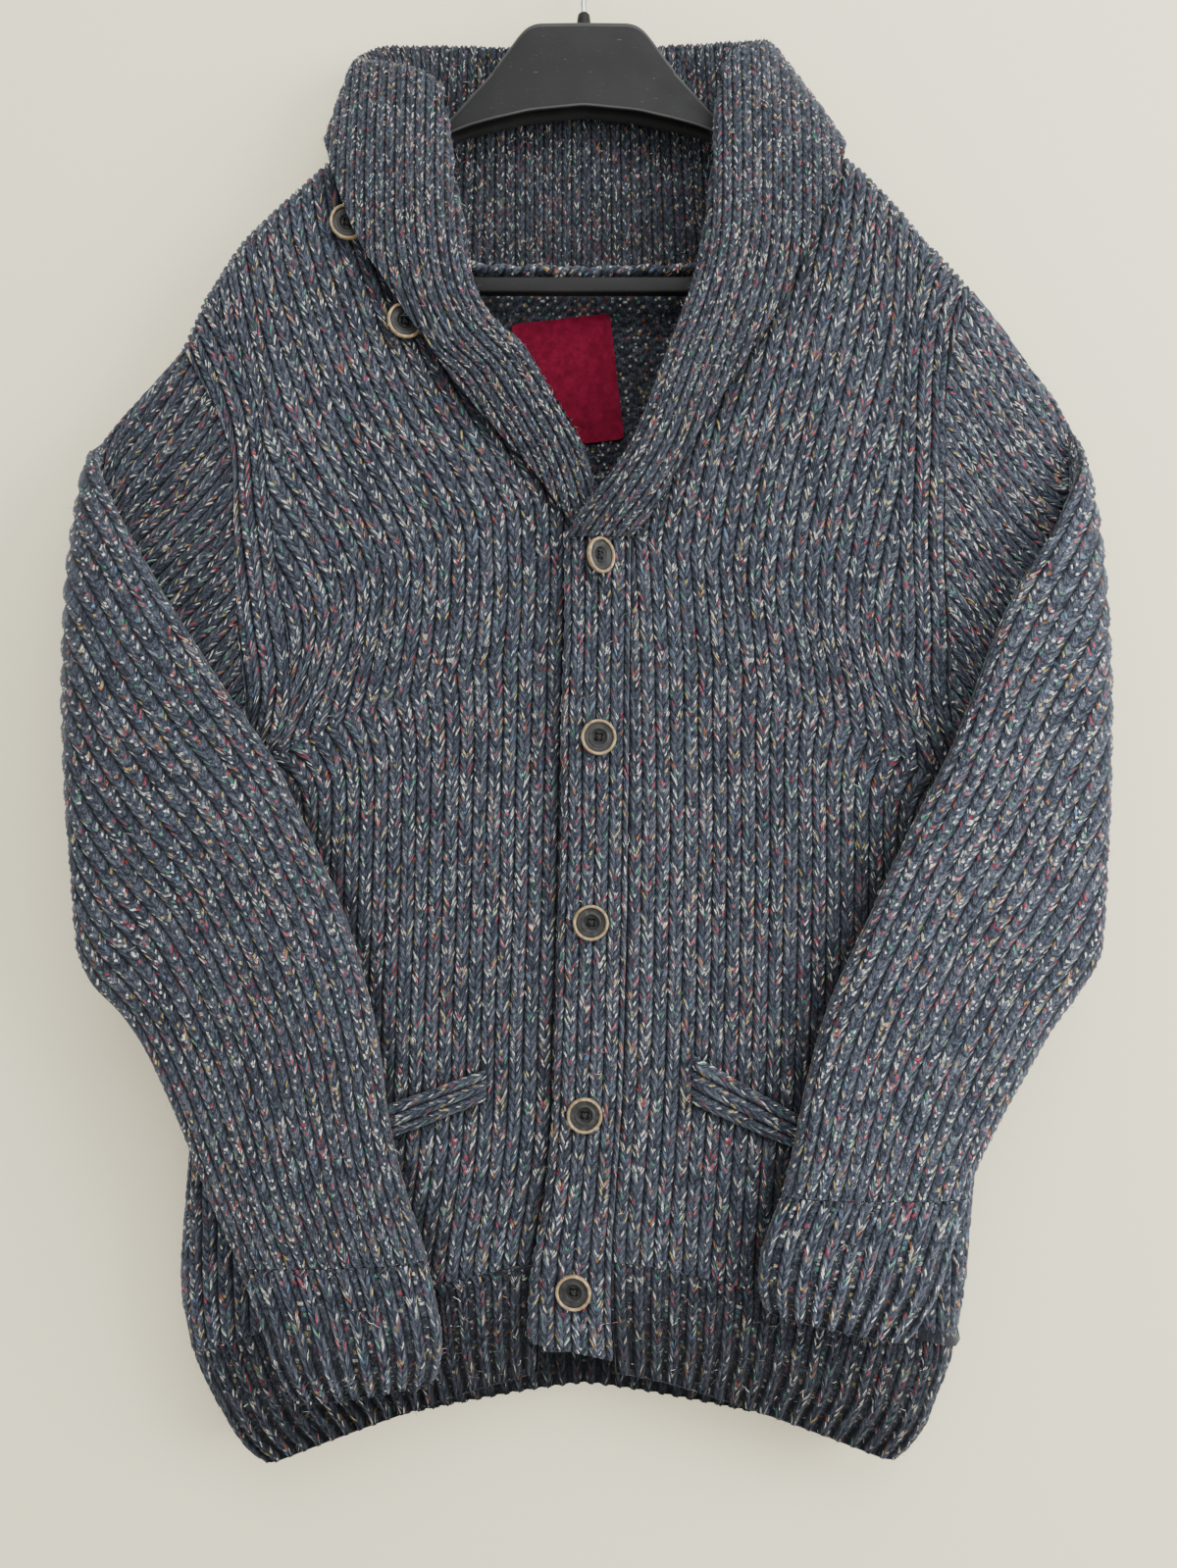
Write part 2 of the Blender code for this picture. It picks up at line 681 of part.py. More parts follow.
def hem_back():
    halves = []
    for side in (RIGHT, LEFT):
        u, rise = rib_columns(round(RIB_TOP_HALF / RIB_PITCH))
        v = HEM_ROWS
        corner, top_corner = outline(HEM_SIDE[side], side, [0.0, 1.0])
        low_x, high_x = corner[0] * u, top_corner[0] * u
        low = np.stack([low_x, drop(low_x, HEM_BACK, HEM_BACK_DROP, HEM_HALF)], axis=1)
        low[-1] = corner
        high_z = drop(high_x, RIB_TOP_BACK, RIB_TOP_BACK_DROP, RIB_TOP_HALF) - GAP
        high = np.stack([high_x, high_z], axis=1)
        last = outline(HEM_SIDE[side], side, v)
        last[0], last[-1] = low[-1], high[-1]
        first = low[0] + (high[0] - low[0]) * v[:, None]
        halves.append((coons(low, high, first, last, u, v), rise_grid(rise, v)))
    (right, right_rise), (left, left_rise) = halves
    outer = joined(with_y(right, back_y(right, RIGHT)), with_y(left, back_y(left, LEFT)))
    seam = joined(roundness(right, RIGHT), roundness(left, LEFT)) < TOUCH
    return wall("hem_back", outer, seam, 1, RIB_WALL, joined(right_rise, left_rise))


# Sleeves

TUBE_ANGLES = np.concatenate([ARM_ANGLES, (ARM_ANGLES + math.pi)[1:-1]])
FLAT_POWER = 0.62


def arm_profile(side):
    """How far the armhole stands forward at each step, as a share of the body's depth."""
    points = outline(ARMHOLE[side], side, arm_fraction(ARM_ANGLES))
    found = roundness(points, side)
    return np.concatenate([found, found[-2:0:-1]])


def sleeve_rings(side, rows, count, angles, inset=0.0):
    """Grid of points: a flattened section at each of count places along the sleeve."""
    names = list(rows)
    values = np.stack([rows[name] for name in names], axis=1)
    middle = np.stack([(rows["ax"] + rows["bx"]) / 2, rows["y"], (rows["az"] + rows["bz"]) / 2], 1)
    length = distances(middle)
    at = np.interp(np.linspace(0, len(length) - 1, count), np.arange(len(length)), length)
    got = dict(zip(names, smooth(length, values, at).T))
    fraction = arm_fraction(angles)
    flat = np.abs(np.sin(angles)) ** FLAT_POWER
    facing = np.sign(np.sin(angles))
    rings = []
    for i in range(count):
        a = np.array([got["ax"][i] + (GAP / 2 if i == 0 else 0), got["az"][i]])
        b = np.array([got["bx"][i] + (GAP / 2 if i == 0 else 0), got["bz"][i]])
        width = np.linalg.norm(a - b)
        f = inset / width + fraction * (1 - 2 * inset / width)
        spine = a + (b - a) * f[:, None]
        share = np.clip(got.get("armhole", np.zeros(count))[i], 0.0, 1.0)
        depth = flat
        if share > 0:
            curve = outline(ARMHOLE[side], 1, f)
            ends = outline(ARMHOLE[side], 1, [0.0, 1.0])
            spine = spine + share * (curve - (ends[0] + (ends[1] - ends[0]) * f[:, None]))
            depth = share * arm_profile(side) + (1 - share) * flat
        if "bow" in got:
            spine[:, 0] += got["bow"][i] * 4 * f * (1 - f)
        turn = math.radians(got["turn"][i]) if "turn" in got else math.pi
        reach = (got["half"][i] - inset) * depth * facing
        x = spine[:, 0] - math.sin(turn) * reach
        y = got["y"][i] - math.cos(turn) * reach
        rings.append(np.stack([x * side, y, spine[:, 1]], axis=1))
    return np.array(rings)


SLEEVE_RINGS = 22


def sleeve(side):
    rows = SLEEVE[side]
    outer = sleeve_rings(side, rows, SLEEVE_RINGS, TUBE_ANGLES)
    inner = sleeve_rings(side, rows, SLEEVE_RINGS, TUBE_ANGLES, WALL)
    return slab(f"sleeve_{SIDE_NAMES[side]}", outer, inner, around=True)


def cuff(side):
    at, rise = rib_columns(CUFF_RIBS)
    angles = at[:-1] * 2 * math.pi
    rows = dict(CUFF[side])
    outer = sleeve_rings(side, rows, CUFF_RINGS, angles)
    inner = sleeve_rings(side, rows, CUFF_RINGS, angles, RIB_WALL)
    n = normals(outer, around=True)
    middle = outer.mean(axis=1, keepdims=True)
    n = n * np.sign(((outer - middle) * n).sum(-1).mean())
    n[0] = 0.35 * n[0]
    n[..., 2] = n[..., 2] * 0.3
    outer = outer + n * (RIB_RISE * rise[:-1])[None, :, None]
    return slab(f"cuff_{SIDE_NAMES[side]}", outer, inner, around=True)


# Collar

def collar_stations():
    """Rows of the collar table from the wearer's right point round the neck to the left point."""
    names = COLLAR_COLUMNS.split()
    right = np.stack([COLLAR[RIGHT][name] for name in names], axis=1)
    left = np.stack([COLLAR[LEFT][name] for name in names], axis=1)
    right, left = right.copy(), left[::-1].copy()
    for name in ("rx", "ox"):
        right[:, names.index(name)] *= -1
    left[:, names.index("turn")] = 360 - left[:, names.index("turn")]
    left[:, names.index("tilt")] = 180 - left[:, names.index("tilt")]
    left[:, names.index("seam")] = 4 - left[:, names.index("seam")]
    values = np.vstack([right, [COLLAR_MIDDLE], left])
    return names, values


def seam_point(place):
    """Where the collar is sewn on, at 0 to 4 round the neck from right point to left point."""
    side = RIGHT if place <= 2 else LEFT
    near = place if place <= 2 else 4 - place
    rows, start = (NECKLINE[side], 0.0) if near <= 1 else (BACK_NECK, 1.0)
    ahead, point, behind = outline(rows, side, np.clip(near - start + np.array([-0.01, 0.0, 0.01]), 0, 1))
    along = (behind - ahead) / np.linalg.norm(behind - ahead)
    shift = np.interp(near, SEAM_SHIFT["place"], SEAM_SHIFT["shift"])
    if near <= 1:
        depth = front_y(point[None], side)[0] + WALL / 2
        point = point + shift * side * np.array([-along[1], along[0]])
    else:
        depth = back_y(point[None], side)[0] - WALL / 2
        point = point + shift * side * np.array([along[1], -along[0]])
    soften = np.clip(abs(near - 1) / 0.06, 0.0, 1.0)
    depth = np.sign(depth) * max(abs(depth), 0.4) * soften
    return np.array([point[0], depth, point[1]])


SECTION = np.array([0.0, 1.0, 2.0, 2.5, 3.0, 3.5, 4.0, 4.6, 5.3, 6.0])


def collar_section(row):
    """Middle line of the folded collar at one station, from its seam over the roll to its edge."""
    crest = np.array([row["rx"], row["ry"], row["rz"]])
    edge = np.array([row["ox"], row["oy"], row["oz"]])
    seam = seam_point(row["seam"])
    turn, tilt = math.radians(row["turn"]), math.radians(row["tilt"])
    out = np.array([-math.sin(turn), -math.cos(turn), 0.0])
    up = np.array([math.cos(tilt), 0.0, math.sin(tilt)])
    roll = row["roll"]
    below = crest - up * roll * 1.2
    stand_side, fall_side = below - out * roll, below + out * roll
    stand_middle = (seam + stand_side) / 2
    fall_middle = (edge + fall_side) / 2 + out * 1.5
    knots = np.array([seam, stand_middle, stand_side, crest, fall_side, fall_middle, edge])
    return smooth(np.arange(7.0), knots, SECTION)


def collar():
    names, values = collar_stations()
    crest = values[:, :3]
    length = distances(crest)
    back_start, back_end = length[BACK_START], length[-BACK_START]
    rib_at = np.linspace(back_start, back_end, 2 * COLLAR_RIBS + 1)
    rib_rise = np.tile([0.0, 1.0], COLLAR_RIBS + 1)[: len(rib_at)]
    before = np.linspace(0, back_start, LAPEL_STATIONS + 1)[:-1]
    after = np.linspace(back_end, length[-1], LAPEL_STATIONS + 1)[1:]
    at = np.concatenate([before, rib_at, after])
    rise = np.concatenate([np.zeros(len(before)), rib_rise, np.zeros(len(after))])
    rows = smooth(length, values, at)
    middle = np.array([collar_section(dict(zip(names, row))) for row in rows])
    n = normals(middle)
    if n[len(rows) // 2, 0, 1] > 0:
        n = -n
    half = rows[:, names.index("wall")][:, None, None] / 2
    outer = middle + n * (half + (RIB_RISE * rise)[:, None, None])
    return slab("collar", outer, middle - n * half)


# Bands, welts, label

BAND_ROWS = 18


def buttonhole_band():
    z = np.linspace(BAND_TOP - 0.3, -799.0, BAND_ROWS)
    free, seam = band_x("free", z), band_x("seam", z)
    slope = np.linspace(0, 1, BAND_ROWS) ** 6 * 10.0
    across = np.array([0.0, 0.05, 0.5, 1.0])
    front_at = np.array([BAND_FRONT + 1.6, BAND_FRONT, BAND_FRONT, BAND_FRONT])
    x = free[:, None] + (seam - free)[:, None] * across
    down = z[:, None] - slope[:, None] * across
    outer = np.stack([x, np.broadcast_to(front_at, x.shape), down], axis=-1)
    inner = np.stack([x, np.full(x.shape, BAND_BACK), down], axis=-1)
    return slab("band_buttonholes", outer, inner)


def button_band():
    z = np.linspace(BAND_TOP - 6.0, -806.0, BAND_ROWS)
    first, last = band_x("free", z) + BAND_LAP + BAND_GAP, band_x("seam", z) - 2.0
    x = np.stack([first, last], axis=1)
    down = np.stack([z, z], axis=1)
    outer = np.stack([x, np.full(x.shape, -DEPTH), down], axis=-1)
    inner = np.stack([x, np.full(x.shape, -DEPTH + WALL), down], axis=-1)
    return slab("band_buttons", outer, inner)


def welt(side):
    rows = WELT[side]
    at = np.linspace(rows["x"][0], rows["x"][-1], 9)
    upper, lower = smooth(rows["x"], rows["upper"], at), smooth(rows["x"], rows["lower"], at)
    across = np.array([0.0, 0.1, 0.34, 0.5, 0.66, 0.9, 1.0])
    rise = np.array([1.2, 3.2, 3.6, 2.8, 3.6, 3.2, 1.2])
    z = lower[None] + (upper - lower)[None] * across[:, None]
    x = np.broadcast_to(at * side, z.shape)
    base = np.full(z.shape, -DEPTH - GAP)
    return slab(
        f"welt_{SIDE_NAMES[side]}",
        np.stack([x, base - rise[:, None], z], axis=-1),
        np.stack([x, base, z], axis=-1),
    )


def label():
    """Sewn-in label: a thin rounded slab that lies on the back's inner side."""
    width, height = LABEL_SIZE
    turn = math.radians(LABEL_TURN)
    right = np.array([math.cos(turn), math.sin(turn)])
    down = np.array([math.sin(turn), -math.cos(turn)])
    inner_width, inner_height = width - LABEL_CORNER, height - LABEL_CORNER
    corners = (
        (LABEL_CORNER, LABEL_CORNER, 180),
        (inner_width, LABEL_CORNER, 270),
        (inner_width, inner_height, 0),
        (LABEL_CORNER, inner_height, 90),
    )
    points = []
    for centre_across, centre_down, start in corners:
        for angle in np.radians(start + np.array([0, 30, 60, 90])):
            across = centre_across + LABEL_CORNER * math.cos(angle)
            along = centre_down + LABEL_CORNER * math.sin(angle)
            points.append(np.array(LABEL_TOP_LEFT) + right * across + down * along)
    flat = np.array(points)
    count = len(flat)
    surface = np.full(count, DEPTH - WALL - GAP)
    verts = np.concatenate([with_y(flat, surface), with_y(flat, surface - LABEL_THICK)])
    faces = [tuple(range(count)), tuple(range(2 * count - 1, count - 1, -1))]
    faces += [(i, i + count, (i + 1) % count + count, (i + 1) % count) for i in range(count)]
    return solid("label", verts, faces)


# Buttons

BUTTON_SIDES = 14
BUTTON_PROFILE = table(  # share of the radius, share of the thickness
    "r y",
    (0.0, 0.45),
    (0.5, 0.5),
    (0.62, 0.76),
    (0.8, 0.8),
    (0.86, 1.0),
    (1.0, 0.8),
    (0.96, 0.2),
    (0.75, 0.0),
    (0.0, 0.0),
)


def button(name, x, z, yaw, seat):
    """Dished round button whose back is at seat, turned by yaw about the vertical."""
    verts, faces = [], []
    rings = []
    for share, height in zip(BUTTON_PROFILE["r"], BUTTON_PROFILE["y"]):
        y = -height * BUTTON_THICK
        if share == 0:
            rings.append([len(verts)])
            verts.append((0.0, y, 0.0))
        else:
            rings.append(list(range(len(verts), len(verts) + BUTTON_SIDES)))
            for i in range(BUTTON_SIDES):
                angle = 2 * math.pi * i / BUTTON_SIDES
                radius = share * BUTTON_RADIUS
                verts.append((radius * math.cos(angle), y, radius * math.sin(angle)))
    for a, b in zip(rings[:-1], rings[1:]):
        for i in range(BUTTON_SIDES):
            j = (i + 1) % BUTTON_SIDES
            if len(a) == 1:
                faces.append((a[0], b[i], b[j]))
            elif len(b) == 1:
                faces.append((a[i], b[0], a[j]))
            else:
                faces.append((a[i], b[i], b[j], a[j]))
    turned = math.radians(yaw)
    points = np.array(verts)
    spun = points.copy()
    spun[:, 0] = points[:, 0] * math.cos(turned) - points[:, 1] * math.sin(turned)
    spun[:, 1] = points[:, 0] * math.sin(turned) + points[:, 1] * math.cos(turned)
    shift = np.array([x, seat - GAP - spun[:, 1].max(), z])
    return finish(solid(name, spun + shift, faces), "horn")


# Hanger

def hanger_body():
    """Neck plate and arms, one moulding."""
    order = np.concatenate([-HANGER["x"][:0:-1], HANGER["x"]])
    columns = {
        name: np.concatenate([HANGER[name][:0:-1], HANGER[name]]) for name in ("top", "bottom", "thick")
    }
    rings = []
    corners = ((0.5, 0.62), (0.3, 1.0), (-0.3, 1.0), (-0.5, 0.62), (-0.5, -0.62), (-0.3, -1.0),
               (0.3, -1.0), (0.5, -0.62))
    for x, top, bottom, thick in zip(order, columns["top"], columns["bottom"], columns["thick"]):
        middle, tall = (top + bottom) / 2, (top - bottom) / 2
        edge = min(1.0, 3.0 / tall)
        ring = []
        for across, up in corners:
            height = math.copysign(1.0 if abs(up) == 1.0 else 1 - edge * 0.8, up) * tall
            ring.append((x, HANGER_MIDDLE_Y + across * thick, middle + height))
        rings.append(ring)
    rings = np.array(rings)
    count, sides = rings.shape[:2]
    faces = []
    for r in range(count - 1):
        for c in range(sides):
            n = (c + 1) % sides
            faces.append((r * sides + c, r * sides + n, (r + 1) * sides + n, (r + 1) * sides + c))
    faces += [tuple(range(sides)), tuple(range(count * sides - 1, (count - 1) * sides - 1, -1))]
    return solid("hanger_body", rings.reshape(-1, 3), faces)


def tube(name, path, radius, sides=10):
    """Solid round rod along a path in the XZ plane at the hanger's middle."""
    path = np.asarray(path, float)
    along = np.gradient(path, axis=0)
    along /= np.linalg.norm(along, axis=1, keepdims=True)
    across = np.stack([along[:, 1], -along[:, 0]], axis=1)
    verts, faces = [], []
    for point, side_way in zip(path, across):
        for i in range(sides):
            angle = 2 * math.pi * i / sides
            xz = point + side_way * radius * math.cos(angle)
            verts.append((xz[0], HANGER_MIDDLE_Y + radius * math.sin(angle), xz[1]))
    for r in range(len(path) - 1):
        for c in range(sides):
            n = (c + 1) % sides
            faces.append((r * sides + c, r * sides + n, (r + 1) * sides + n, (r + 1) * sides + c))
    end = (len(path) - 1) * sides
    faces += [tuple(range(sides)), tuple(range(end + sides - 1, end - 1, -1))]
    return solid(name, verts, faces)


def hanger_bar():
    """Trouser bar with its turned-up ends, just under the arms."""
    arm_under = np.interp(BAR_END, HANGER["x"], HANGER["bottom"])
    bend = [
        (BAR_END - BAR_BEND * (1 - math.sin(a)), BAR_Z + BAR_BEND * (1 - math.cos(a)))
        for a in np.linspace(0, math.pi / 2, 6)
    ]
    top = (BAR_END, arm_under - GAP - 2.4)
    half = [(0.0, BAR_Z), *bend, top]
    path = [(-x, z) for x, z in half[:0:-1]] + half
    return tube("hanger_bar", path, BAR_HALF, 8)


def hanger_hook():
    """Steel hook: shank, offset bend and open round top, whose inside top is the origin."""
    centre_radius = HOOK_RADIUS + ROD_RADIUS
    centre_z = -HOOK_RADIUS
    shank = [(0.0, HANGER["top"][0] + GAP), (0.0, -50.0), (0.3, -46.0)]
    sweep = [
        (centre_radius * math.cos(a), centre_z + centre_radius * math.sin(a))
        for a in np.radians(np.arange(-38, 206, 12))
    ]
    tip = [(-centre_radius - 1.5, centre_z - 14.0)]
    raw = np.array(shank + [(6.0, -40.0)] + sweep + tip)
    length = distances(raw)
    path = smooth(length, raw, np.linspace(0, length[-1], 24))
    return tube("hanger_hook", path, ROD_RADIUS, 8)


def build():
    for old in list(bpy.data.objects):
        bpy.data.objects.remove(old)
    cloth = [back(), hem_back(), collar(), buttonhole_band(), button_band()]
    for side in (RIGHT, LEFT):
        cloth += [front(side), hem_front(side), sleeve(side), cuff(side), welt(side)]
    for piece in cloth:
        finish(piece, "knit")
    finish(label(), "woven")
    for i in range(5):
        row = {name: FRONT_BUTTONS[name][i] for name in FRONT_BUTTONS}
        button(f"button_front_{i + 1}", row["x"], row["z"], row["yaw"], BAND_FRONT)
    for i in range(2):
        row = {name: COLLAR_BUTTONS[name][i] for name in COLLAR_BUTTONS}
        button(f"button_collar_{i + 1}", row["x"], row["z"], row["yaw"], -DEPTH)
    finish(hanger_body(), "plastic")
    finish(hanger_bar(), "plastic")
    finish(hanger_hook(), "steel")


build()
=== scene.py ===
import math

import bmesh
import bpy
import numpy as np
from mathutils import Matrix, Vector


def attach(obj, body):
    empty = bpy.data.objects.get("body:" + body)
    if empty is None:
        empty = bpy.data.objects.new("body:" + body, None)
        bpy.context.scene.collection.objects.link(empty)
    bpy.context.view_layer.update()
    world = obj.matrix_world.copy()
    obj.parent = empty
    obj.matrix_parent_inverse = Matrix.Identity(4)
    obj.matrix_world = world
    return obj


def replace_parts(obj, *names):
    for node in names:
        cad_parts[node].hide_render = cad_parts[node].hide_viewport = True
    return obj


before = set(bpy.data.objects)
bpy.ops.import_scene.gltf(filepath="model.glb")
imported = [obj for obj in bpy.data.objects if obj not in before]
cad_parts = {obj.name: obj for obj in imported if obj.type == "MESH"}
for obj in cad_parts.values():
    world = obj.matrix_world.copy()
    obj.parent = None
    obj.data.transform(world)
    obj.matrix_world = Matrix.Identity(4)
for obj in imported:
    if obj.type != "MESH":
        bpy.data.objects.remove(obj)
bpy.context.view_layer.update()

# Lengths are in millimetres until a mesh is made. X is the viewer's right, -Y the viewer, Z up.
MM = 0.001
GAP = 0.3
WALL = 3.6
DEPTH = 16.0
EDGE_ROUND = 16.0
ON_SEAM = 0.5
RIGHT, LEFT = -1, 1
SIDE_NAMES = {RIGHT: "right", LEFT: "left"}

# Knit gauge
WALE = 8.05
COURSE = 5.8
LEAN = 1.35
RIB_WALE = 10.3
FINE_RIB = 5.5
LAPEL_RIB = 5.6
BAND_WALE = 7.2
STITCH_HEIGHT = 1.4
OPEN_RIB = 0.7
SINK = 0.7
COARSE = dict(per_wale=3, steps=(0.0, 0.5))
CLOSED_UP = 0.02
RIM_DEPTH = 0.9
RIB_WALL = 3.4

RIB_TOP_FRONT, RIB_TOP_FRONT_DROP = -752.0, 56.0
RIB_TOP_BACK, RIB_TOP_BACK_DROP = -773.0, 35.0
RIB_TOP_HALF = 224.0
HEM_FRONT, HEM_FRONT_DROP = -813.0, 60.0
HEM_BACK, HEM_BACK_DROP = -839.0, 34.0
HEM_HALF = 185.0
HEM_POWER = 1.25

BAND_TOP = -350.0
BAND_BACK, BAND_FRONT = -16.7, -21.2
BAND_LIFT = 4.4
BAND_LIFT_REACH = 38.0
BAND_LAP = 6.0
BAND_GAP = 1.0
UNDERARM_V = 0.53
PLACKET_V = 0.62
NECK_SHARE = 0.42
ARM_POWER = 0.8
FLAT_POWER = 0.62


def table(names, *rows):
    """Columns of numbers by name."""
    return dict(zip(names.split(), np.array(rows, float).T))


SIDE = {
    RIGHT: table("x z", (224, -808), (230, -778), (229, -738), (226, -700), (228, -645), (226, -575),
                 (213, -500)),
    LEFT: table("x z", (212, -808), (219, -765), (222, -728), (224, -700), (229, -650), (231, -575),
                (224, -500)),
}
HEM_SIDE = {
    RIGHT: table("x z", (185, -873), (195, -864), (210, -840), (219, -822), (224, -808)),
    LEFT: table("x z", (180, -873), (194, -856), (205, -830), (209, -820), (212, -808)),
}
ARMHOLE = {
    RIGHT: table("x z", (229, -238), (214, -262), (200, -294), (196, -355), (194, -403), (190, -445),
                 (194, -478), (213, -500)),
    LEFT: table("x z", (223, -206), (212, -226), (204, -262), (203, -310), (203, -359), (206, -405),
                (209, -462), (224, -500)),
}
SHOULDER = {
    RIGHT: table("x z", (98, -108), (141, -128), (166, -149), (195, -177), (214, -205), (229, -238)),
    LEFT: table("x z", (98, -108), (141, -124), (150, -129), (175, -152), (194, -174), (223, -206)),
}
NECKLINE = {
    RIGHT: table("x z", (5, -350), (7, -322), (24, -292), (42, -268), (62, -240), (77, -212), (88, -182),
                 (96, -148), (98, -108)),
    LEFT: table("x z", (26, -350), (32, -328), (42, -298), (54, -272), (68, -245), (80, -215), (90, -185),
                (97, -148), (98, -108)),
}
BACK_NECK = table("x z", (98, -108), (98.5, -125), (97, -145), (88, -173), (70, -186), (38, -189),
                  (0, -189.5))
BAND = table(
    "z free seam",
    (-350, -10, 26), (-406, -11, 25.4), (-460, -12, 24.9), (-541, -13, 23.8), (-622, -15.6, 22.2),
    (-676, -17, 20), (-713, -21, 17.3), (-752, -28, 14.8), (-780, -30, 14.8), (-812, -31.5, 17.5),
)
SLEEVE_COLUMNS = "ax az bx bz y half turn armhole bow"
SLEEVE = {
    RIGHT: table(
        SLEEVE_COLUMNS,
        (229, -238, 213, -500, 0, 16, 0, 1, 0),
        (241, -252, 229, -517, 0, 14.5, 0, 0.75, 0),
        (256, -268, 249, -539, 0, 12.5, 0, 0.4, 1),
        (269, -283, 267, -554, -1, 10.5, 0, 0.1, 3),
        (275, -292, 274, -561, -4, 9, 28, 0, 5),
        (276, -299, 273, -567, -13, 8.5, 90, 0, 9),
        (271, -310, 274, -573, -23, 9, 150, 0, 9),
        (262, -327, 277, -577, -28, 10, 180, 0, 9),
        (240, -366, 275, -584, -31, 11, 180, 0, 7),
        (204, -424, 267, -598, -33, 11.5, 180, 0, 3),
        (172, -471, 253, -612, -33, 12, 180, 0, 0),
        (150, -515, 241, -629, -33, 12, 180, 0, 0),
        (130, -562, 230, -651, -33, 12, 180, 0, 0),
        (114, -620, 216, -684, -33, 11.5, 180, 0, 0),
        (106, -673, 205, -712, -33, 11, 180, 0, 0),
        (96, -715, 195, -734, -33, 11, 180, 0, 0),
        (86, -746, 188, -749, -33, 11, 180, 0, 0),
    ),
    LEFT: table(
        SLEEVE_COLUMNS,
        (223, -206, 224, -500, 0, 16, 0, 1, 0),
        (238, -224, 240, -515, 0, 14.5, 0, 0.75, 0),
        (255, -247, 258, -536, 0, 12.5, 0, 0.4, 1),
        (270, -268, 273, -551, -1, 10.5, 0, 0.1, 3),
        (277, -282, 279, -559, -4, 9, 28, 0, 5),
        (278, -296, 279, -566, -13, 8.5, 90, 0, 7),
        (275, -312, 281, -572, -23, 9, 150, 0, 8),
        (264, -337, 284, -577, -28, 10, 180, 0, 8),
        (234, -388, 279, -589, -31, 11, 180, 0, 6),
        (202, -466, 266, -607, -33, 11.5, 180, 0, 2),
        (178, -514, 256, -620, -33, 12, 180, 0, 0),
        (155, -563, 246, -637, -33, 12, 180, 0, 0),
        (135, -607, 235, -656, -33, 11.5, 180, 0, 0),
        (122, -650, 224, -677, -33, 11, 180, 0, 0),
        (115, -687, 214, -697, -33, 11, 180, 0, 0),
        (109, -711, 209, -712, -33, 11, 180, 0, 0),
    ),
}
FOLD_ROW = 5
CUFF = {
    RIGHT: table(
        "ax az bx bz y half",
        (86, -746.3, 188, -749.3, -33, 11), (80, -775, 178, -773, -33, 11.5),
        (78, -800, 166, -808, -33, 11), (81, -812, 157, -824, -33, 10),
    ),
    LEFT: table(
        "ax az bx bz y half",
        (109, -711.3, 209, -712.3, -33, 11), (99, -738, 201, -738, -33, 11.5),
        (96, -760, 192, -766, -33, 11), (99, -774, 177, -791, -33, 10),
    ),
}
CUFF_RIBS = 20
COLLAR_COLUMNS = "rx ry rz seam ox oy oz turn tilt roll wall"
COLLAR = {
    RIGHT: table(
        COLLAR_COLUMNS,
        (-8, -16.9, -327, 0.08, 6, -18.2, -342, 0, 40, 1.9, 2.2),
        (0, -17.8, -301, 0.19, 29, -20.0, -311, 0, 30, 2.8, 2.8),
        (17, -20, -272, 0.33, 54, -22.0, -284, 0, 25, 4.2, 3.4),
        (37, -21, -241, 0.46, 80, -23.5, -252, 0, 22, 5.0, 3.4),
        (54, -21, -225, 0.52, 88, -24.0, -240, 0, 20, 5.2, 3.4),
        (61, -21, -211, 0.58, 97, -24.5, -228, 0, 18, 5.2, 3.4),
        (67, -21, -180, 0.70, 110, -24.5, -208, 0, 12, 5.4, 3.4),
        (73, -21, -145, 0.82, 121, -24.5, -192, 0, 10, 5.4, 3.4),
        (77, -19, -115, 0.93, 129, -24, -176, 0, 25, 5.4, 3.4),
        (80, -18, -99, 0.96, 135, -24, -160, 0, 45, 4.8, 3.4),
        (91, -15.5, -88.5, 0.98, 140, -20.5, -144, 8, 62, 4.6, 3.4),
        (108, -11, -81.5, 1.0, 145, -12, -127, 30, 78, 4.4, 3.4),
        (129, 1, -71, 1.02, 147, 3, -121, 85, 88, 4.0, 3.4),
        (121, 12, -59, 1.06, 143, 20, -132, 150, 90, 3.4, 3.4),
        (96, 15, -57, 1.26, 120, 22, -162, 180, 90, 3.3, 3.4),
        (60, 17.2, -57.5, 1.6, 74, 22, -181, 180, 90, 3.3, 3.4),
    ),
    LEFT: table(
        COLLAR_COLUMNS,
        (-10, -20, -349.2, 0.0, 27, -23, -349.2, 0, 0, 2.0, 2.2),
        (-3, -24, -338, 0.06, 33, -24, -343, 0, 10, 3.0, 2.6),
        (9, -26, -324, 0.10, 41, -24.5, -331, 0, 20, 4.2, 3.0),
        (30, -26, -293, 0.23, 58, -23.5, -300, 0, 22, 5.0, 3.4),
        (42, -24, -261, 0.37, 76, -22.5, -272, 0, 22, 5.4, 3.4),
        (52, -22, -234, 0.49, 93, -21.5, -246, 0, 20, 5.4, 3.4),
        (62, -21, -207, 0.60, 107, -21, -224, 0, 16, 5.4, 3.4),
        (68, -21, -180, 0.70, 119, -20.5, -200, 0, 12, 5.4, 3.4),
        (73, -21, -137, 0.84, 131, -20.5, -177, 0, 10, 5.4, 3.4),
        (76, -19, -103, 0.95, 138, -22, -160, 0, 30, 5.4, 3.4),
        (84, -16, -79, 0.98, 143, -20, -145, 10, 70, 5.0, 3.4),
        (101, -9, -68, 1.0, 147, -11.5, -126.5, 45, 88, 4.6, 3.4),
        (109, 2, -63.5, 1.02, 149, 4, -120, 90, 90, 4.0, 3.4),
        (106, 12, -54.5, 1.08, 145, 20, -131, 150, 90, 3.4, 3.4),
        (87, 15, -55, 1.32, 120, 22, -161, 180, 90, 3.3, 3.4),
        (56, 17.2, -56.5, 1.6, 70, 22, -181, 180, 90, 3.3, 3.4),
    ),
}
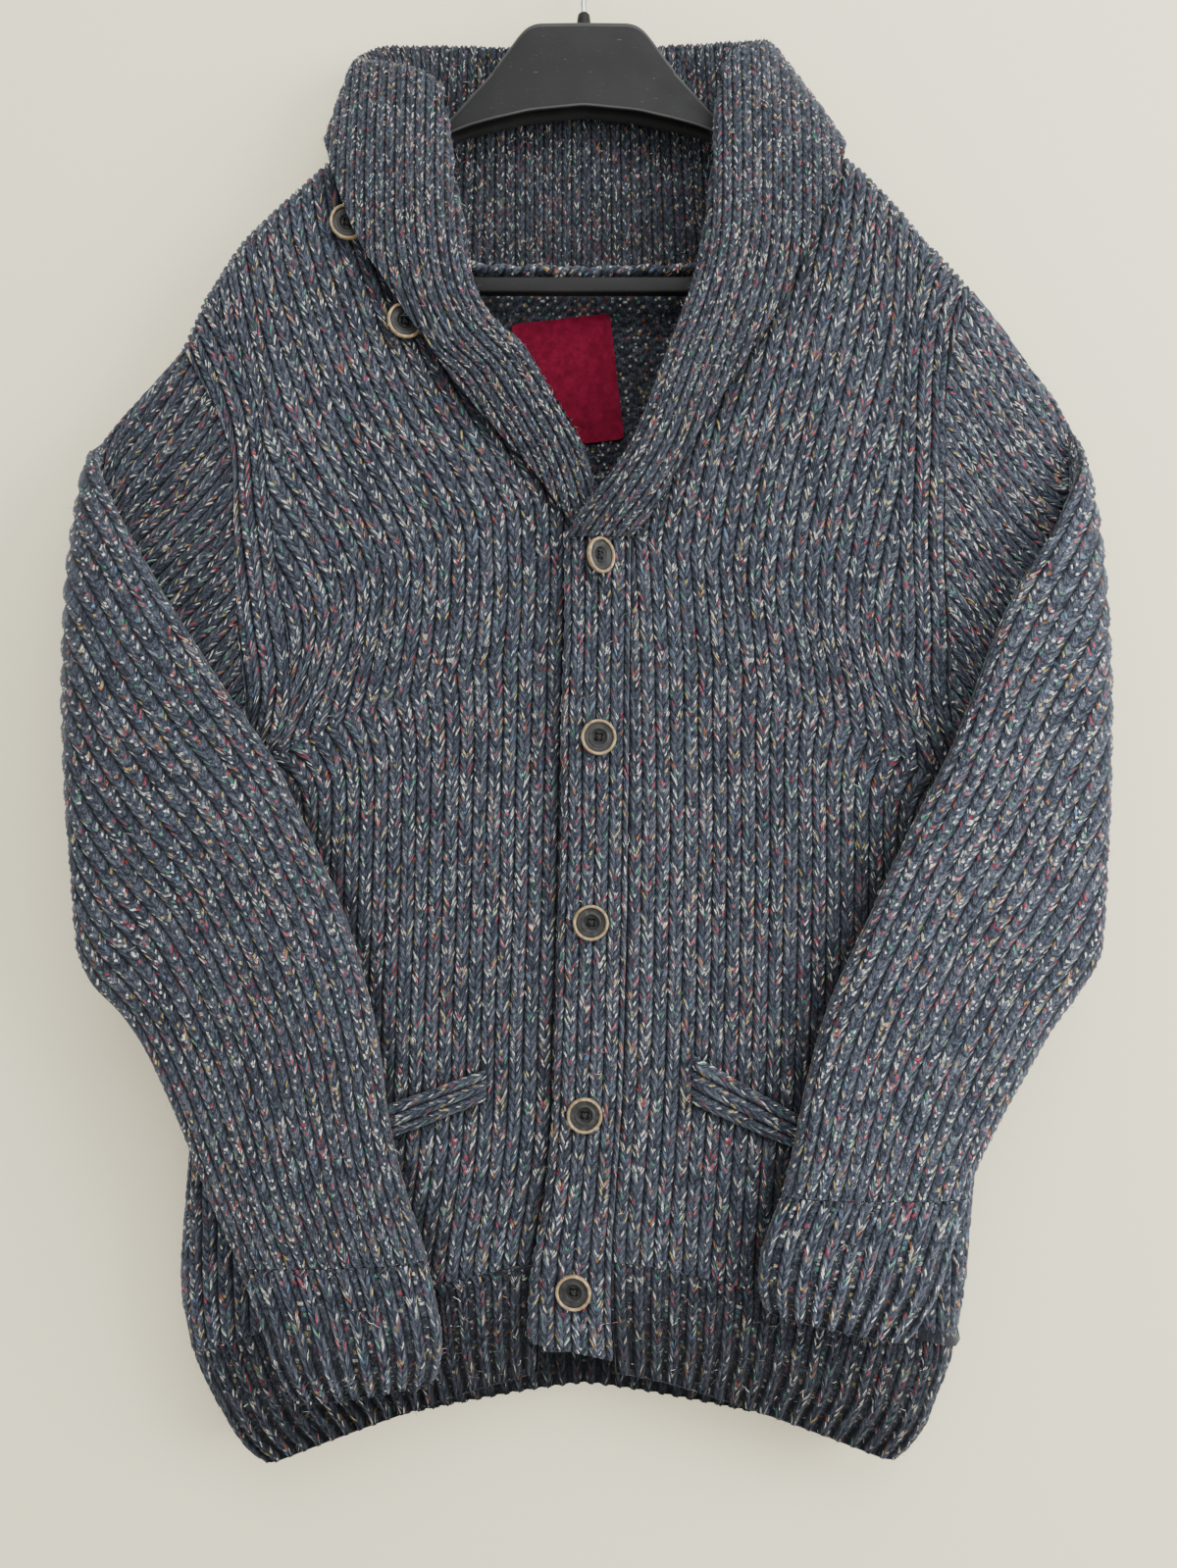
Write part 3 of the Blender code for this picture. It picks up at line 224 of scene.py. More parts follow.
COLLAR_MIDDLE = (0, 17.4, -57.5, 2.0, 0, 22, -186, 180, 90, 3.3, 3.4)
SEAM_SHIFT = table(
    "place shift",
    (0.0, 2.0), (0.2, 2.4), (0.36, 5.2), (0.55, 2.4), (0.9, 2.4), (1.0, 4.6), (1.12, 6.3), (1.3, 6.6),
    (1.45, 3.6), (2.0, 2.3),
)
WELT = {
    RIGHT: table("x upper lower", (55, -646.5, -664.5), (112, -667, -687), (142, -677, -697)),
    LEFT: table("x upper lower", (61, -637.5, -667), (119, -671, -692), (146, -684, -703)),
}
FRONT_BUTTONS = table(
    "x z yaw", (8, -361, 43), (8, -461, 8), (4, -564, 0), (0.5, -671, 0), (-5.5, -769, -6)
)
COLLAR_BUTTONS = table("x z yaw", (-132, -173, 6), (-100, -228.5, 14))
BUTTON_PROFILE = table(
    "r y", (0, 2.0), (3.6, 2.0), (4.6, 2.7), (5.2, 2.8), (5.8, 2.4), (7.4, 2.5), (8.0, 2.4), (8.5, 3.7),
    (9.1, 4.0), (9.7, 3.7), (10.0, 3.1),
)


# Curves

def running(steps, axis=0):
    """Running sum from zero."""
    start = np.zeros_like(np.take(steps, [0], axis))
    return np.concatenate([start, np.cumsum(steps, axis=axis)], axis=axis)


def distances(points):
    return running(np.linalg.norm(np.diff(points, axis=0), axis=-1))


def smooth(knots, values, at):
    """Cubic curve through rows of values at the knots."""
    knots, values, at = np.asarray(knots, float), np.asarray(values, float), np.asarray(at, float)
    if values.ndim == 1:
        return smooth(knots, values[:, None], at)[:, 0]
    step = np.diff(knots)[:, None]
    slope = np.diff(values, axis=0) / step
    tangent = np.empty_like(values)
    tangent[0], tangent[-1] = slope[0], slope[-1]
    tangent[1:-1] = (slope[:-1] * step[1:] + slope[1:] * step[:-1]) / (step[:-1] + step[1:])
    i = np.clip(np.searchsorted(knots, at, side="right") - 1, 0, len(knots) - 2)
    h = step[i]
    s = ((at - knots[i])[:, None]) / h
    return (
        values[i] * (1 + 2 * s) * (1 - s) ** 2
        + tangent[i] * h * s * (1 - s) ** 2
        + values[i + 1] * s**2 * (3 - 2 * s)
        + tangent[i + 1] * h * s**2 * (s - 1)
    )


def outline(rows, side, at, shift=0.0):
    points = np.stack([rows["x"], rows["z"]], axis=1)
    length = distances(points)
    found = smooth(length / length[-1], points, at)
    found[:, 0] = (found[:, 0] + shift) * side
    return found


def unit(vectors):
    return vectors / np.maximum(np.linalg.norm(vectors, axis=-1, keepdims=True), 1e-9)


def shares(rows, cols):
    """Fractions up, v, and across, u, at the points of an even grid."""
    return np.meshgrid(np.linspace(0, 1, rows), np.linspace(0, 1, cols), indexing="ij")


def smoothed(values, reach):
    """Running mean of a row of values under a soft window."""
    window = np.hanning(2 * reach + 3)[1:-1]
    return np.convolve(np.pad(values, reach, mode="edge"), window / window.sum(), mode="valid")


def low_line(x, middle, fall, half):
    """XZ points at x on a line that falls away from the middle to both sides."""
    return np.stack([x, middle - fall * (np.abs(x) / half) ** HEM_POWER], axis=1)


def segment_distance(points, line):
    """Distance of XZ points to a polyline."""
    a, b = line[:-1], line[1:]
    along = b - a
    best = np.full(points.shape[:-1], 1e9)
    for start, way in zip(a, along):
        offset = points - start
        t = np.clip((offset * way).sum(-1) / (way**2).sum(), 0.0, 1.0)
        best = np.minimum(best, np.linalg.norm(offset - t[..., None] * way, axis=-1))
    return best


def mid_seam(side):
    many = np.linspace(0, 1, 40)
    lower = np.vstack([outline(HEM_SIDE[side], side, many), outline(SIDE[side], side, many)[1:]])
    return lower, outline(SHOULDER[side], side, many)


MID_SEAMS = {side: mid_seam(side) for side in (RIGHT, LEFT)}


def roundness(points, side):
    """0 on the seam between front and back, 1 a little way in from it."""
    lower, shoulder = MID_SEAMS[side]
    reach = np.minimum(segment_distance(points, lower), segment_distance(points, shoulder))
    inward = 1 - np.clip((reach - ON_SEAM) / EDGE_ROUND, 0.0, 1.0)
    return np.sqrt(np.clip(1 - inward**2, 0.0, 1.0))


def band_x(name, z):
    order = np.argsort(BAND["z"])
    return smooth(BAND["z"][order], BAND[name][order], np.clip(z, -812, -350))


def front_y(points, side):
    y = -(GAP / 2 + (DEPTH - GAP / 2) * roundness(points, side))
    if side == LEFT:
        x, z = points[..., 0], points[..., 1]
        neck = np.interp(z, NECKLINE[LEFT]["z"], NECKLINE[LEFT]["x"])
        edge = np.where(z > BAND_TOP, neck, band_x("seam", z.ravel()).reshape(z.shape))
        near = 1 - np.clip((x - edge) / BAND_LIFT_REACH, 0.0, 1.0)
        y = y - BAND_LIFT * near**2 * np.clip((-250.0 - z) / 80.0, 0.0, 1.0)
    return y


def back_y(points, side):
    folds = 1.2 * np.cos(points[..., 0] / 34.0) * np.clip((-300.0 - points[..., 1]) / 300.0, 0, 1)
    return GAP / 2 + (DEPTH - GAP / 2 + folds) * roundness(points, side)


def with_y(points, y):
    return np.stack([points[..., 0], y, points[..., 1]], axis=-1)


def coons(bottom, top, first, last, u, v):
    """Grid of XZ points between four edges: bottom and top at u, first and last at v."""
    u, v = u[None, :, None], v[:, None, None]
    across = (1 - v) * bottom[None] + v * top[None]
    along = (1 - u) * first[:, None] + u * last[:, None]
    corners = (1 - v) * ((1 - u) * bottom[0] + u * bottom[-1]) + v * ((1 - u) * top[0] + u * top[-1])
    return across + along - corners


def normals(grid):
    n = np.cross(np.gradient(grid, axis=0), np.gradient(grid, axis=1))
    length = np.linalg.norm(n, axis=-1, keepdims=True)
    n = n / np.maximum(length, 1e-9)
    for row in range(1, len(n)):
        weak = length[row, :, 0] < 1e-6
        n[row, weak] = n[row - 1, weak]
    return n


def towards(n, way):
    """Normals turned so that most of them agree with the directions in way."""
    return n * np.sign((n * way).sum(-1).sum())


# Base surfaces: even grids of outer points, rows up the piece

def outer_edge(side, v):
    low = v <= UNDERARM_V
    found = np.empty((len(v), 2))
    found[low] = outline(SIDE[side], side, v[low] / UNDERARM_V)
    found[~low] = outline(ARMHOLE[side], side, 1 - (v[~low] - UNDERARM_V) / (1 - UNDERARM_V), -GAP / 2)
    return found


def front_edge(side, z):
    """XZ points of a front's edge along the bands."""
    name, offset = ("free", BAND_LAP) if side == RIGHT else ("seam", BAND_GAP)
    return np.stack([band_x(name, z) + offset, z], axis=1)


def front_base(side, cols=150, rows=220):
    v, u = np.linspace(0, 1, rows), np.linspace(0, 1, cols)
    low = v <= PLACKET_V
    straight = front_edge(side, RIB_TOP_FRONT + (BAND_TOP - RIB_TOP_FRONT) * v[low] / PLACKET_V)
    neck = outline(NECKLINE[side], side, (v[~low] - PLACKET_V) / (1 - PLACKET_V))
    first, last = np.vstack([straight, neck]), outer_edge(side, v)
    bottom = low_line(first[0, 0] + (last[0, 0] - first[0, 0]) * u, RIB_TOP_FRONT, RIB_TOP_FRONT_DROP,
                      RIB_TOP_HALF)
    first[0], last[0] = bottom[0], bottom[-1]
    top = outline(SHOULDER[side], side, u)
    top[0], top[-1] = first[-1], last[-1]
    points = coons(bottom, top, first, last, u, v)
    return with_y(points, front_y(points, side))


def back_base(side, cols=120, rows=200):
    v, half = np.linspace(0, 1, rows), np.linspace(0, 1, cols)
    last = outer_edge(side, v)
    bottom = low_line(last[0, 0] * half, RIB_TOP_BACK, RIB_TOP_BACK_DROP, RIB_TOP_HALF)
    last[0] = bottom[-1]
    first = np.stack([np.zeros(len(v)), bottom[0, 1] + (BACK_NECK["z"][-1] - bottom[0, 1]) * v], 1)
    on_neck = half < NECK_SHARE
    neck = outline(BACK_NECK, side, 1 - half[on_neck] / NECK_SHARE)
    shoulder = outline(SHOULDER[side], side, (half[~on_neck] - NECK_SHARE) / (1 - NECK_SHARE))
    top = np.vstack([neck, shoulder])
    top[0], top[-1] = first[-1], last[-1]
    points = coons(bottom, top, first, last, half, v)
    return with_y(points, back_y(points, side))


def hem_front_base(side, cols=150, rows=24):
    v, u = np.linspace(0, 1, rows), np.linspace(0, 1, cols)
    first = front_edge(side, HEM_FRONT + (RIB_TOP_FRONT - HEM_FRONT) * v)
    last = outline(HEM_SIDE[side], side, v)
    low_x, high_x = (first[k, 0] + (last[k, 0] - first[k, 0]) * u for k in (0, -1))
    low = low_line(low_x, HEM_FRONT, HEM_FRONT_DROP, HEM_HALF)
    low[-1] = last[0]
    high = low_line(high_x, RIB_TOP_FRONT - 0.05, RIB_TOP_FRONT_DROP, RIB_TOP_HALF)
    first[0], first[-1], last[-1] = low[0], high[0], high[-1]
    points = coons(low, high, first, last, u, v)
    return with_y(points, front_y(points, side))


def hem_back_base(side, cols=120, rows=24):
    v, u = np.linspace(0, 1, rows), np.linspace(0, 1, cols)
    last = outline(HEM_SIDE[side], side, v)
    low = low_line(last[0, 0] * u, HEM_BACK, HEM_BACK_DROP, HEM_HALF)
    low[-1] = last[0]
    high = low_line(last[-1, 0] * u, RIB_TOP_BACK - GAP, RIB_TOP_BACK_DROP, RIB_TOP_HALF)
    last[-1] = high[-1]
    first = low[0] + (high[0] - low[0]) * v[:, None]
    points = coons(low, high, first, last, u, v)
    return with_y(points, back_y(points, side))


def arm_fraction(angle):
    c = np.cos(angle)
    return (1 - np.sign(c) * np.abs(c) ** ARM_POWER) / 2


def tube_base(side, rows, places, angles, inset=0.0):
    """Flattened sections of a sleeve or cuff at places along its middle line, in table rows."""
    names = list(rows)
    middle = np.stack([(rows["ax"] + rows["bx"]) / 2, rows["y"], (rows["az"] + rows["bz"]) / 2], 1)
    length = distances(middle)
    at = np.interp(places, np.arange(len(length)), length)
    f = arm_fraction(angles)
    flat = np.abs(np.sin(angles)) ** FLAT_POWER
    facing = np.sign(np.sin(angles))
    profile = roundness(outline(ARMHOLE[side], side, f), side)
    ends = outline(ARMHOLE[side], 1, [0.0, 1.0])
    bulge = outline(ARMHOLE[side], 1, f) - (ends[0] + (ends[1] - ends[0]) * f[:, None])
    rings = []
    for values in smooth(length, np.stack([rows[name] for name in names], axis=1), at):
        row = dict(zip(names, values))
        a, b = np.array([row["ax"], row["az"]]), np.array([row["bx"], row["bz"]])
        share = np.clip(row.get("armhole", 0.0), 0.0, 1.0)
        spine = a + (b - a) * f[:, None] + share * bulge
        spine[:, 0] += row.get("bow", 0.0) * 4 * f * (1 - f)
        turn = math.radians(row.get("turn", 180.0))
        reach = (row["half"] - inset) * (share * profile + (1 - share) * flat) * facing
        x, y = spine[:, 0] - math.sin(turn) * reach, row["y"] - math.cos(turn) * reach
        rings.append(np.stack([x * side, y, spine[:, 1]], axis=1))
    return np.array(rings)


def collar_stations():
    names = COLLAR_COLUMNS.split()
    right = np.stack([COLLAR[RIGHT][name] for name in names], axis=1)
    left = np.stack([COLLAR[LEFT][name] for name in names], axis=1)[::-1].copy()
    right[:, [names.index("rx"), names.index("ox")]] *= -1
    left[:, names.index("turn")] = 360 - left[:, names.index("turn")]
    left[:, names.index("tilt")] = 180 - left[:, names.index("tilt")]
    left[:, names.index("seam")] = 4 - left[:, names.index("seam")]
    return names, np.vstack([right, [COLLAR_MIDDLE], left])


def seam_point(place):
    """Where the collar is sewn on, at 0 to 4 round the neck from right point to left point."""
    side = RIGHT if place <= 2 else LEFT
    near = place if place <= 2 else 4 - place
    rows, start = (NECKLINE[side], 0.0) if near <= 1 else (BACK_NECK, 1.0)
    ahead, point, behind = outline(rows, side, np.clip(near - start + np.array([-0.01, 0.0, 0.01]), 0, 1))
    along = (behind - ahead) / np.linalg.norm(behind - ahead)
    shift = np.interp(near, SEAM_SHIFT["place"], SEAM_SHIFT["shift"])
    if near <= 1:
        depth = front_y(point[None], side)[0] + WALL / 2
        point = point + shift * side * np.array([-along[1], along[0]])
    else:
        depth = back_y(point[None], side)[0] - WALL / 2
        point = point + shift * side * np.array([along[1], -along[0]])
    soften = np.clip(abs(near - 1) / 0.06, 0.0, 1.0)
    return np.array([point[0], np.sign(depth) * max(abs(depth), 0.4) * soften, point[1]])


def collar_section(row, at):
    """Middle line of the folded collar at one station, from its seam over the roll to its edge."""
    crest = np.array([row["rx"], row["ry"], row["rz"]])
    edge = np.array([row["ox"], row["oy"], row["oz"]])
    seam = seam_point(row["seam"])
    turn, tilt = math.radians(row["turn"]), math.radians(row["tilt"])
    out = np.array([-math.sin(turn), -math.cos(turn), 0.0])
    up = np.array([math.cos(tilt), 0.0, math.sin(tilt)])
    roll = row["roll"]
    below = crest - up * roll * 1.2
    stand_side, fall_side = below - out * roll, below + out * roll
    knots = np.array([
        seam, (seam + stand_side) / 2, stand_side, crest, fall_side, (edge + fall_side) / 2 + out * 1.5, edge
    ])
    return smooth(np.arange(7.0), knots, at)


# Knit

def read(grid, u, v):
    """Values of a grid between its points, at fractions across, u, and up, v."""
    rows, cols = grid.shape[:2]
    c, r = np.clip(u, 0, 1) * (cols - 1), np.clip(v, 0, 1) * (rows - 1)
    c0, r0 = np.minimum(c.astype(int), cols - 2), np.minimum(r.astype(int), rows - 2)
    fc, fr = (c - c0), (r - r0)
    if grid.ndim == 3:
        fc, fr = fc[..., None], fr[..., None]
    low = grid[r0, c0] * (1 - fc) + grid[r0, c0 + 1] * fc
    high = grid[r0 + 1, c0] * (1 - fc) + grid[r0 + 1, c0 + 1] * fc
    return low * (1 - fr) + high * fr


def frac(x):
    return x - np.floor(x)


def chance(i, j, seed=0):
    """Repeatable random number from 0 to 1 for whole numbers i and j."""
    return frac(np.sin(i * 127.1 + j * 311.7 + seed * 74.7) * 43758.5453)


def wale_place(s, rib):
    """0 in the middle of a wale, 1 at its edges; rib is the share of the pitch that the wale takes."""
    a = np.abs(2 * frac(s) - 1)
    return a if not rib else np.minimum(a / rib, 1.0)


def stitch(s, w, rib, furrow):
    """Height of the knit, about 0 to 1, and its painted shade, at wale s and leg w: darker at the wale edges,
    and on open ribs also between the legs and deep in the furrows.
    """
    a = wale_place(s, rib)
    b = frac(w)
    leg = np.sqrt(np.clip(1 - (2 * b - 1) ** 2, 0, 1))
    across = 1 - np.abs(2 * a - 1) ** 2.4
    luck = chance(np.floor(2 * s), np.floor(w))
    height = (0.4 + 0.6 * leg) * (0.3 + 0.7 * across) - 0.75 * a**5 - 0.1 * (1 - a) ** 6 + 0.34 * (luck - 0.5)
    # painted shade: a little darker towards the wale edges
    shade = 1 - 0.3 * a**3
    if rib:
        wide = np.abs(2 * frac(s) - 1)
        groove = np.clip((wide - rib) / (1 - rib) * 2.0, 0, 1)
        arcs = 0.5 + 0.5 * np.cos(2 * math.pi * w)
        low = 0.3 * arcs - (1.4 if rib < OPEN_RIB else 0.6) * furrow + 0.1 * (1 - furrow)
        height = height * (1 - groove) + groove * low
    # painted shade on open ribs: dark between the legs, at the wale edges and middle, and in the furrows
    if 0 < rib < OPEN_RIB:
        shade = (0.45 + 0.55 * leg) * (1 - 0.9 * a**4) * (1 - 0.5 * (1 - a) ** 7)
        shade = shade * (1 - groove) + groove * ((0.3 + 0.5 * arcs) * (1 - furrow) + 0.12 * furrow)
    return height, shade


def scallop(grid, s, t, from_end):
    """Moves the ends of the ribs out a little past the edge of the grid, and the furrows back."""
    way = (grid[-1] - grid[-3]).mean(axis=0) if from_end else np.array([0.0, 0.0, -1.0])
    size = (-0.4 - 1.3 * np.cos(2 * math.pi * s)) * np.exp(-t / 0.8)
    return size[..., None] * way / np.linalg.norm(way)


def purl(s, w):
    """Inner side of the knit: wavy rows of short bumps, with painted shade in the hollows between the rows."""
    wave = 0.5 + 0.5 * np.cos(2 * math.pi * (w + 0.26 * np.cos(2 * math.pi * s)))
    gap = 0.5 + 0.5 * np.cos(2 * math.pi * s)
    luck = chance(np.floor(2 * s), np.floor(w + 0.5))
    height = wave * (0.65 + 0.35 * gap) + 0.3 * (luck - 0.5)
    # painted shade: darker between the rows of bumps
    return height, 0.16 + 0.84 * wave


def knit(grid, n, wale=WALE, course=COURSE, wales=None, courses=None, from_end=False, lean=LEAN, rib=0.0,
         height=STITCH_HEIGHT, per_wale=8, steps=(0.0, 0.3, 0.7), sink=SINK, shear=False, furrow=None,
         round_end=0.0, inner=False, tone=1.0, slide=None, even=False, by_index=False):
    """Stitches over a base grid. With wales or courses given they spread over the grid; otherwise they
    keep their own size, measured from the first column and from the bottom, or the top with from_end."""
    rows, cols = grid.shape[:2]
    across, upward = np.linspace(0, 1, cols), np.linspace(0, 1, rows)
    up = unit(np.gradient(grid, axis=0))
    step, mid_up = np.diff(grid, axis=1), (up[:, 1:] + up[:, :-1]) / 2
    cum = running(np.linalg.norm(np.cross(step, mid_up), axis=-1), axis=1)
    cum = np.apply_along_axis(smoothed, 0, cum, max(3, rows // 12))
    if by_index:
        cum = np.broadcast_to(across * np.median(cum[:, -1]), cum.shape)
    if even:
        cum = np.broadcast_to(np.median(cum / cum[:, -1:], axis=0) * np.median(cum[:, -1]), cum.shape)
    slide = np.zeros(rows) if slide is None else smoothed(slide(cum[:, -1]), rows // 5)
    arc = running(np.linalg.norm(np.diff(grid, axis=0), axis=-1))
    reach = arc[-1:] - arc if from_end else arc
    if shear:
        slip = running((step[rows // 2] * mid_up[rows // 2]).sum(-1))
        reach = reach + (-slip if from_end else slip)[None]
        reach = reach - reach.min()

    total_s = wales if wales else (cum[:, -1] + slide).max() / wale
    s = np.minimum(np.arange(0, total_s + 0.999 / per_wale, 1 / per_wale), total_s)
    total_t = courses if courses else reach.max() / course
    whole = np.arange(-math.ceil(lean), math.ceil(total_t) + 1)
    w = (whole[:, None] + np.array(steps)[None]).ravel()
    s_all, w_all = np.broadcast_arrays(s[None, :], w[:, None])
    t = np.clip(w_all + wale_place(s, rib)[None, :] * lean, 0, total_t)

    u_table = np.empty((rows, len(s)))
    for r in range(rows):
        place_at = s / total_s * cum[r, -1] if wales else s * wale - slide[r]
        u_table[r] = np.interp(place_at, cum[r], across)
    column = np.broadcast_to(np.linspace(0, 1, len(s))[None], t.shape)
    if courses:
        v = 1 - t / total_t if from_end else t / total_t
        u = read(u_table, column, v)
    else:
        steps_t = np.linspace(0, total_t, 2 * rows) * course
        order = slice(None, None, -1) if from_end else slice(None)
        v_table = np.stack([np.interp(steps_t, reach[order, c], upward[order]) for c in range(cols)], axis=1)
        u = column * 1.0
        for _ in range(6):
            v = read(v_table, u, t / total_t)
            u = read(u_table, column, v)
        v = read(v_table, u, t / total_t)
    base, facing = read(grid, u, v), unit(read(n, u, v))
    deep = np.ones_like(t) if furrow is None else furrow(t)
    relief, shade = purl(s_all, w_all) if inner else stitch(s_all, w_all, rib, deep)
    raised = height * relief - sink + drift(s_all, t)
    if round_end:
        raised = raised - 1.6 * np.clip(1 - t * course / round_end, 0, 1) ** 2
    points = base + facing * raised[..., None]
    if round_end and rib:
        points = points + scallop(grid, s_all, t, from_end)
    shade = shade * (tone(t) if callable(tone) else tone)
    return dict(points=points, uv=np.stack([s_all, w_all], axis=-1), way=facing, base=base, shade=shade)


def drift(s, t):
    """Slow unevenness of the knit's height, in millimetres."""
    return 0.25 * (0.5 * np.sin(t * 0.41 + s * 1.7) + 0.4 * np.sin(t * 0.23 - s * 0.9 + 2.0))


def knit_field(grid, n, wale_mm, course_mm, size, wale, course, lean=LEAN, height=STITCH_HEIGHT, rib=0.0,
               tone=1.0):
    """Stitches over a fine even grid, placed by millimetres across and along the wales at its points."""
    v, u = shares(*size)
    base, facing = read(grid, u, v), unit(read(n, u, v))
    s, t = read(wale_mm, u, v) / wale, read(course_mm, u, v) / course
    w = t - lean * wale_place(s, rib)
    relief, shade = stitch(s, w, rib, 1.0)
    points = base + facing * (height * relief - SINK + drift(s, t))[..., None]
    return dict(points=points, uv=np.stack([s, w], axis=-1), way=facing, base=base, shade=shade * tone)


def quads(points):
    """Faces of a grid, without those that have closed up."""
    rows, cols = points.shape[:2]
    index = np.arange(rows * cols).reshape(rows, cols)
    corners = [index[:-1, :-1], index[:-1, 1:], index[1:, 1:], index[1:, :-1]]
    faces = np.stack(corners, axis=-1).reshape(-1, 4)
    a, b, c, d = (points.reshape(-1, 3)[faces[:, k]] for k in range(4))
    return faces[np.linalg.norm(np.cross(c - a, d - b), axis=1) > CLOSED_UP]


def linked(name, data):
    """New object in the scene for a mesh, lamp or camera."""
    found = bpy.data.objects.new(name, data)
    bpy.context.scene.collection.objects.link(found)
    return found


def yarn(name, verts, faces, uvs, shades, material):
    """Riding object with wale and leg numbers in its UV map and a shade at each point."""
    mesh = bpy.data.meshes.new(name)
    mesh.from_pydata((verts * MM).tolist(), [], faces.tolist())
    layer = mesh.uv_layers.new(name="knit")
    layer.data.foreach_set("uv", uvs[faces.ravel()].astype(np.float32).ravel())
    mesh.attributes.new("shade", "FLOAT", "POINT").data.foreach_set("value", shades.astype(np.float32))
    mesh.materials.append(material)
    mesh.update()
    found = linked(name, mesh)
    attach(found, "root")
    return found


def place(name, parts, material):
    """One object from several grids."""
    verts, faces, uvs, shades = [], [], [], []
    base = 0
    for part in parts:
        found = quads(part["base"])
        flat = part["points"].reshape(-1, 3)
        a, b, c = (flat[found[:, k]] for k in (0, 1, 3))
        if (np.cross(b - a, c - a) * part["way"].reshape(-1, 3)[found[:, 0]]).sum() < 0:
            found = found[:, ::-1]
        verts.append(flat)
        uvs.append(part["uv"].reshape(-1, 2))
        shades.append(part["shade"].ravel())
        faces.append(found + base)
        base += len(flat)
    verts, faces, uvs, shades = (np.concatenate(rows) for rows in (verts, faces, uvs, shades))
    used = np.unique(faces)
    new = np.full(len(verts), -1)
    new[used] = np.arange(len(used))
    found = yarn(name, verts[used], new[faces], uvs[used], shades[used], material)
    found.data.shade_smooth()
    return found


def base_normals(grid, way):
    return towards(normals(grid), np.asarray(way, float))


def knit_part(grid, way, **options):
    return knit(grid, base_normals(grid, way), **options)


def lining_part(grid, way, thick, rows=40, cols=40):
    """Plain inner side of the cloth, with the cut edges round it."""
    n = base_normals(grid, way)
    v, u = shares(rows, cols)
    at, facing = read(grid, u, v), read(n, u, v)
    points = np.pad(at - facing * RIM_DEPTH, ((1, 1), (1, 1), (0, 0)), mode="edge")
    points[1:-1, 1:-1] = at - facing * thick
    return lining_dict(points, -np.pad(facing, ((1, 1), (1, 1), (0, 0)), mode="edge"))


def lining_dict(points, way, shade=0.5):
    rows, cols = points.shape[:2]
    v, u = np.meshgrid(np.arange(rows), np.arange(cols), indexing="ij")
    uv = np.stack([u, v], axis=-1) * 0.7
    return dict(points=points, uv=uv, way=way, base=points, shade=np.full(points.shape[:2], shade))


def crease(grid, way, lines):
    """Soft troughs and ridges laid over a base grid; each line is x z x z width depth, in millimetres."""
    n = base_normals(grid, way)
    points = grid[..., [0, 2]]
    out = grid.copy()
    for x0, z0, x1, z1, width, depth in lines:
        start, along = np.array([x0, z0]), np.array([x1 - x0, z1 - z0])
        t = np.clip(((points - start) * along).sum(-1) / (along**2).sum(), 0, 1)
        away = np.linalg.norm(points - start - t[..., None] * along, axis=-1)
        fade = np.sin(math.pi * np.clip(0.12 + 0.76 * t, 0, 1))
        out += n * (-depth * fade * np.exp(-((away / width) ** 2)))[..., None]
    return out


# Materials

class Value:
    """A socket in a material, on which sums can be done."""

    def __init__(self, net, socket):
        self.net, self.socket = net, socket

    def of(self, kind, *others):
        return self.net.math(kind, self, *others)

    def __add__(self, other):
        return self.of("ADD", other)

    def __sub__(self, other):
        return self.of("SUBTRACT", other)

    def __rsub__(self, other):
        return self.net.math("SUBTRACT", other, self)

    def __mul__(self, other):
        return self.of("MULTIPLY", other)


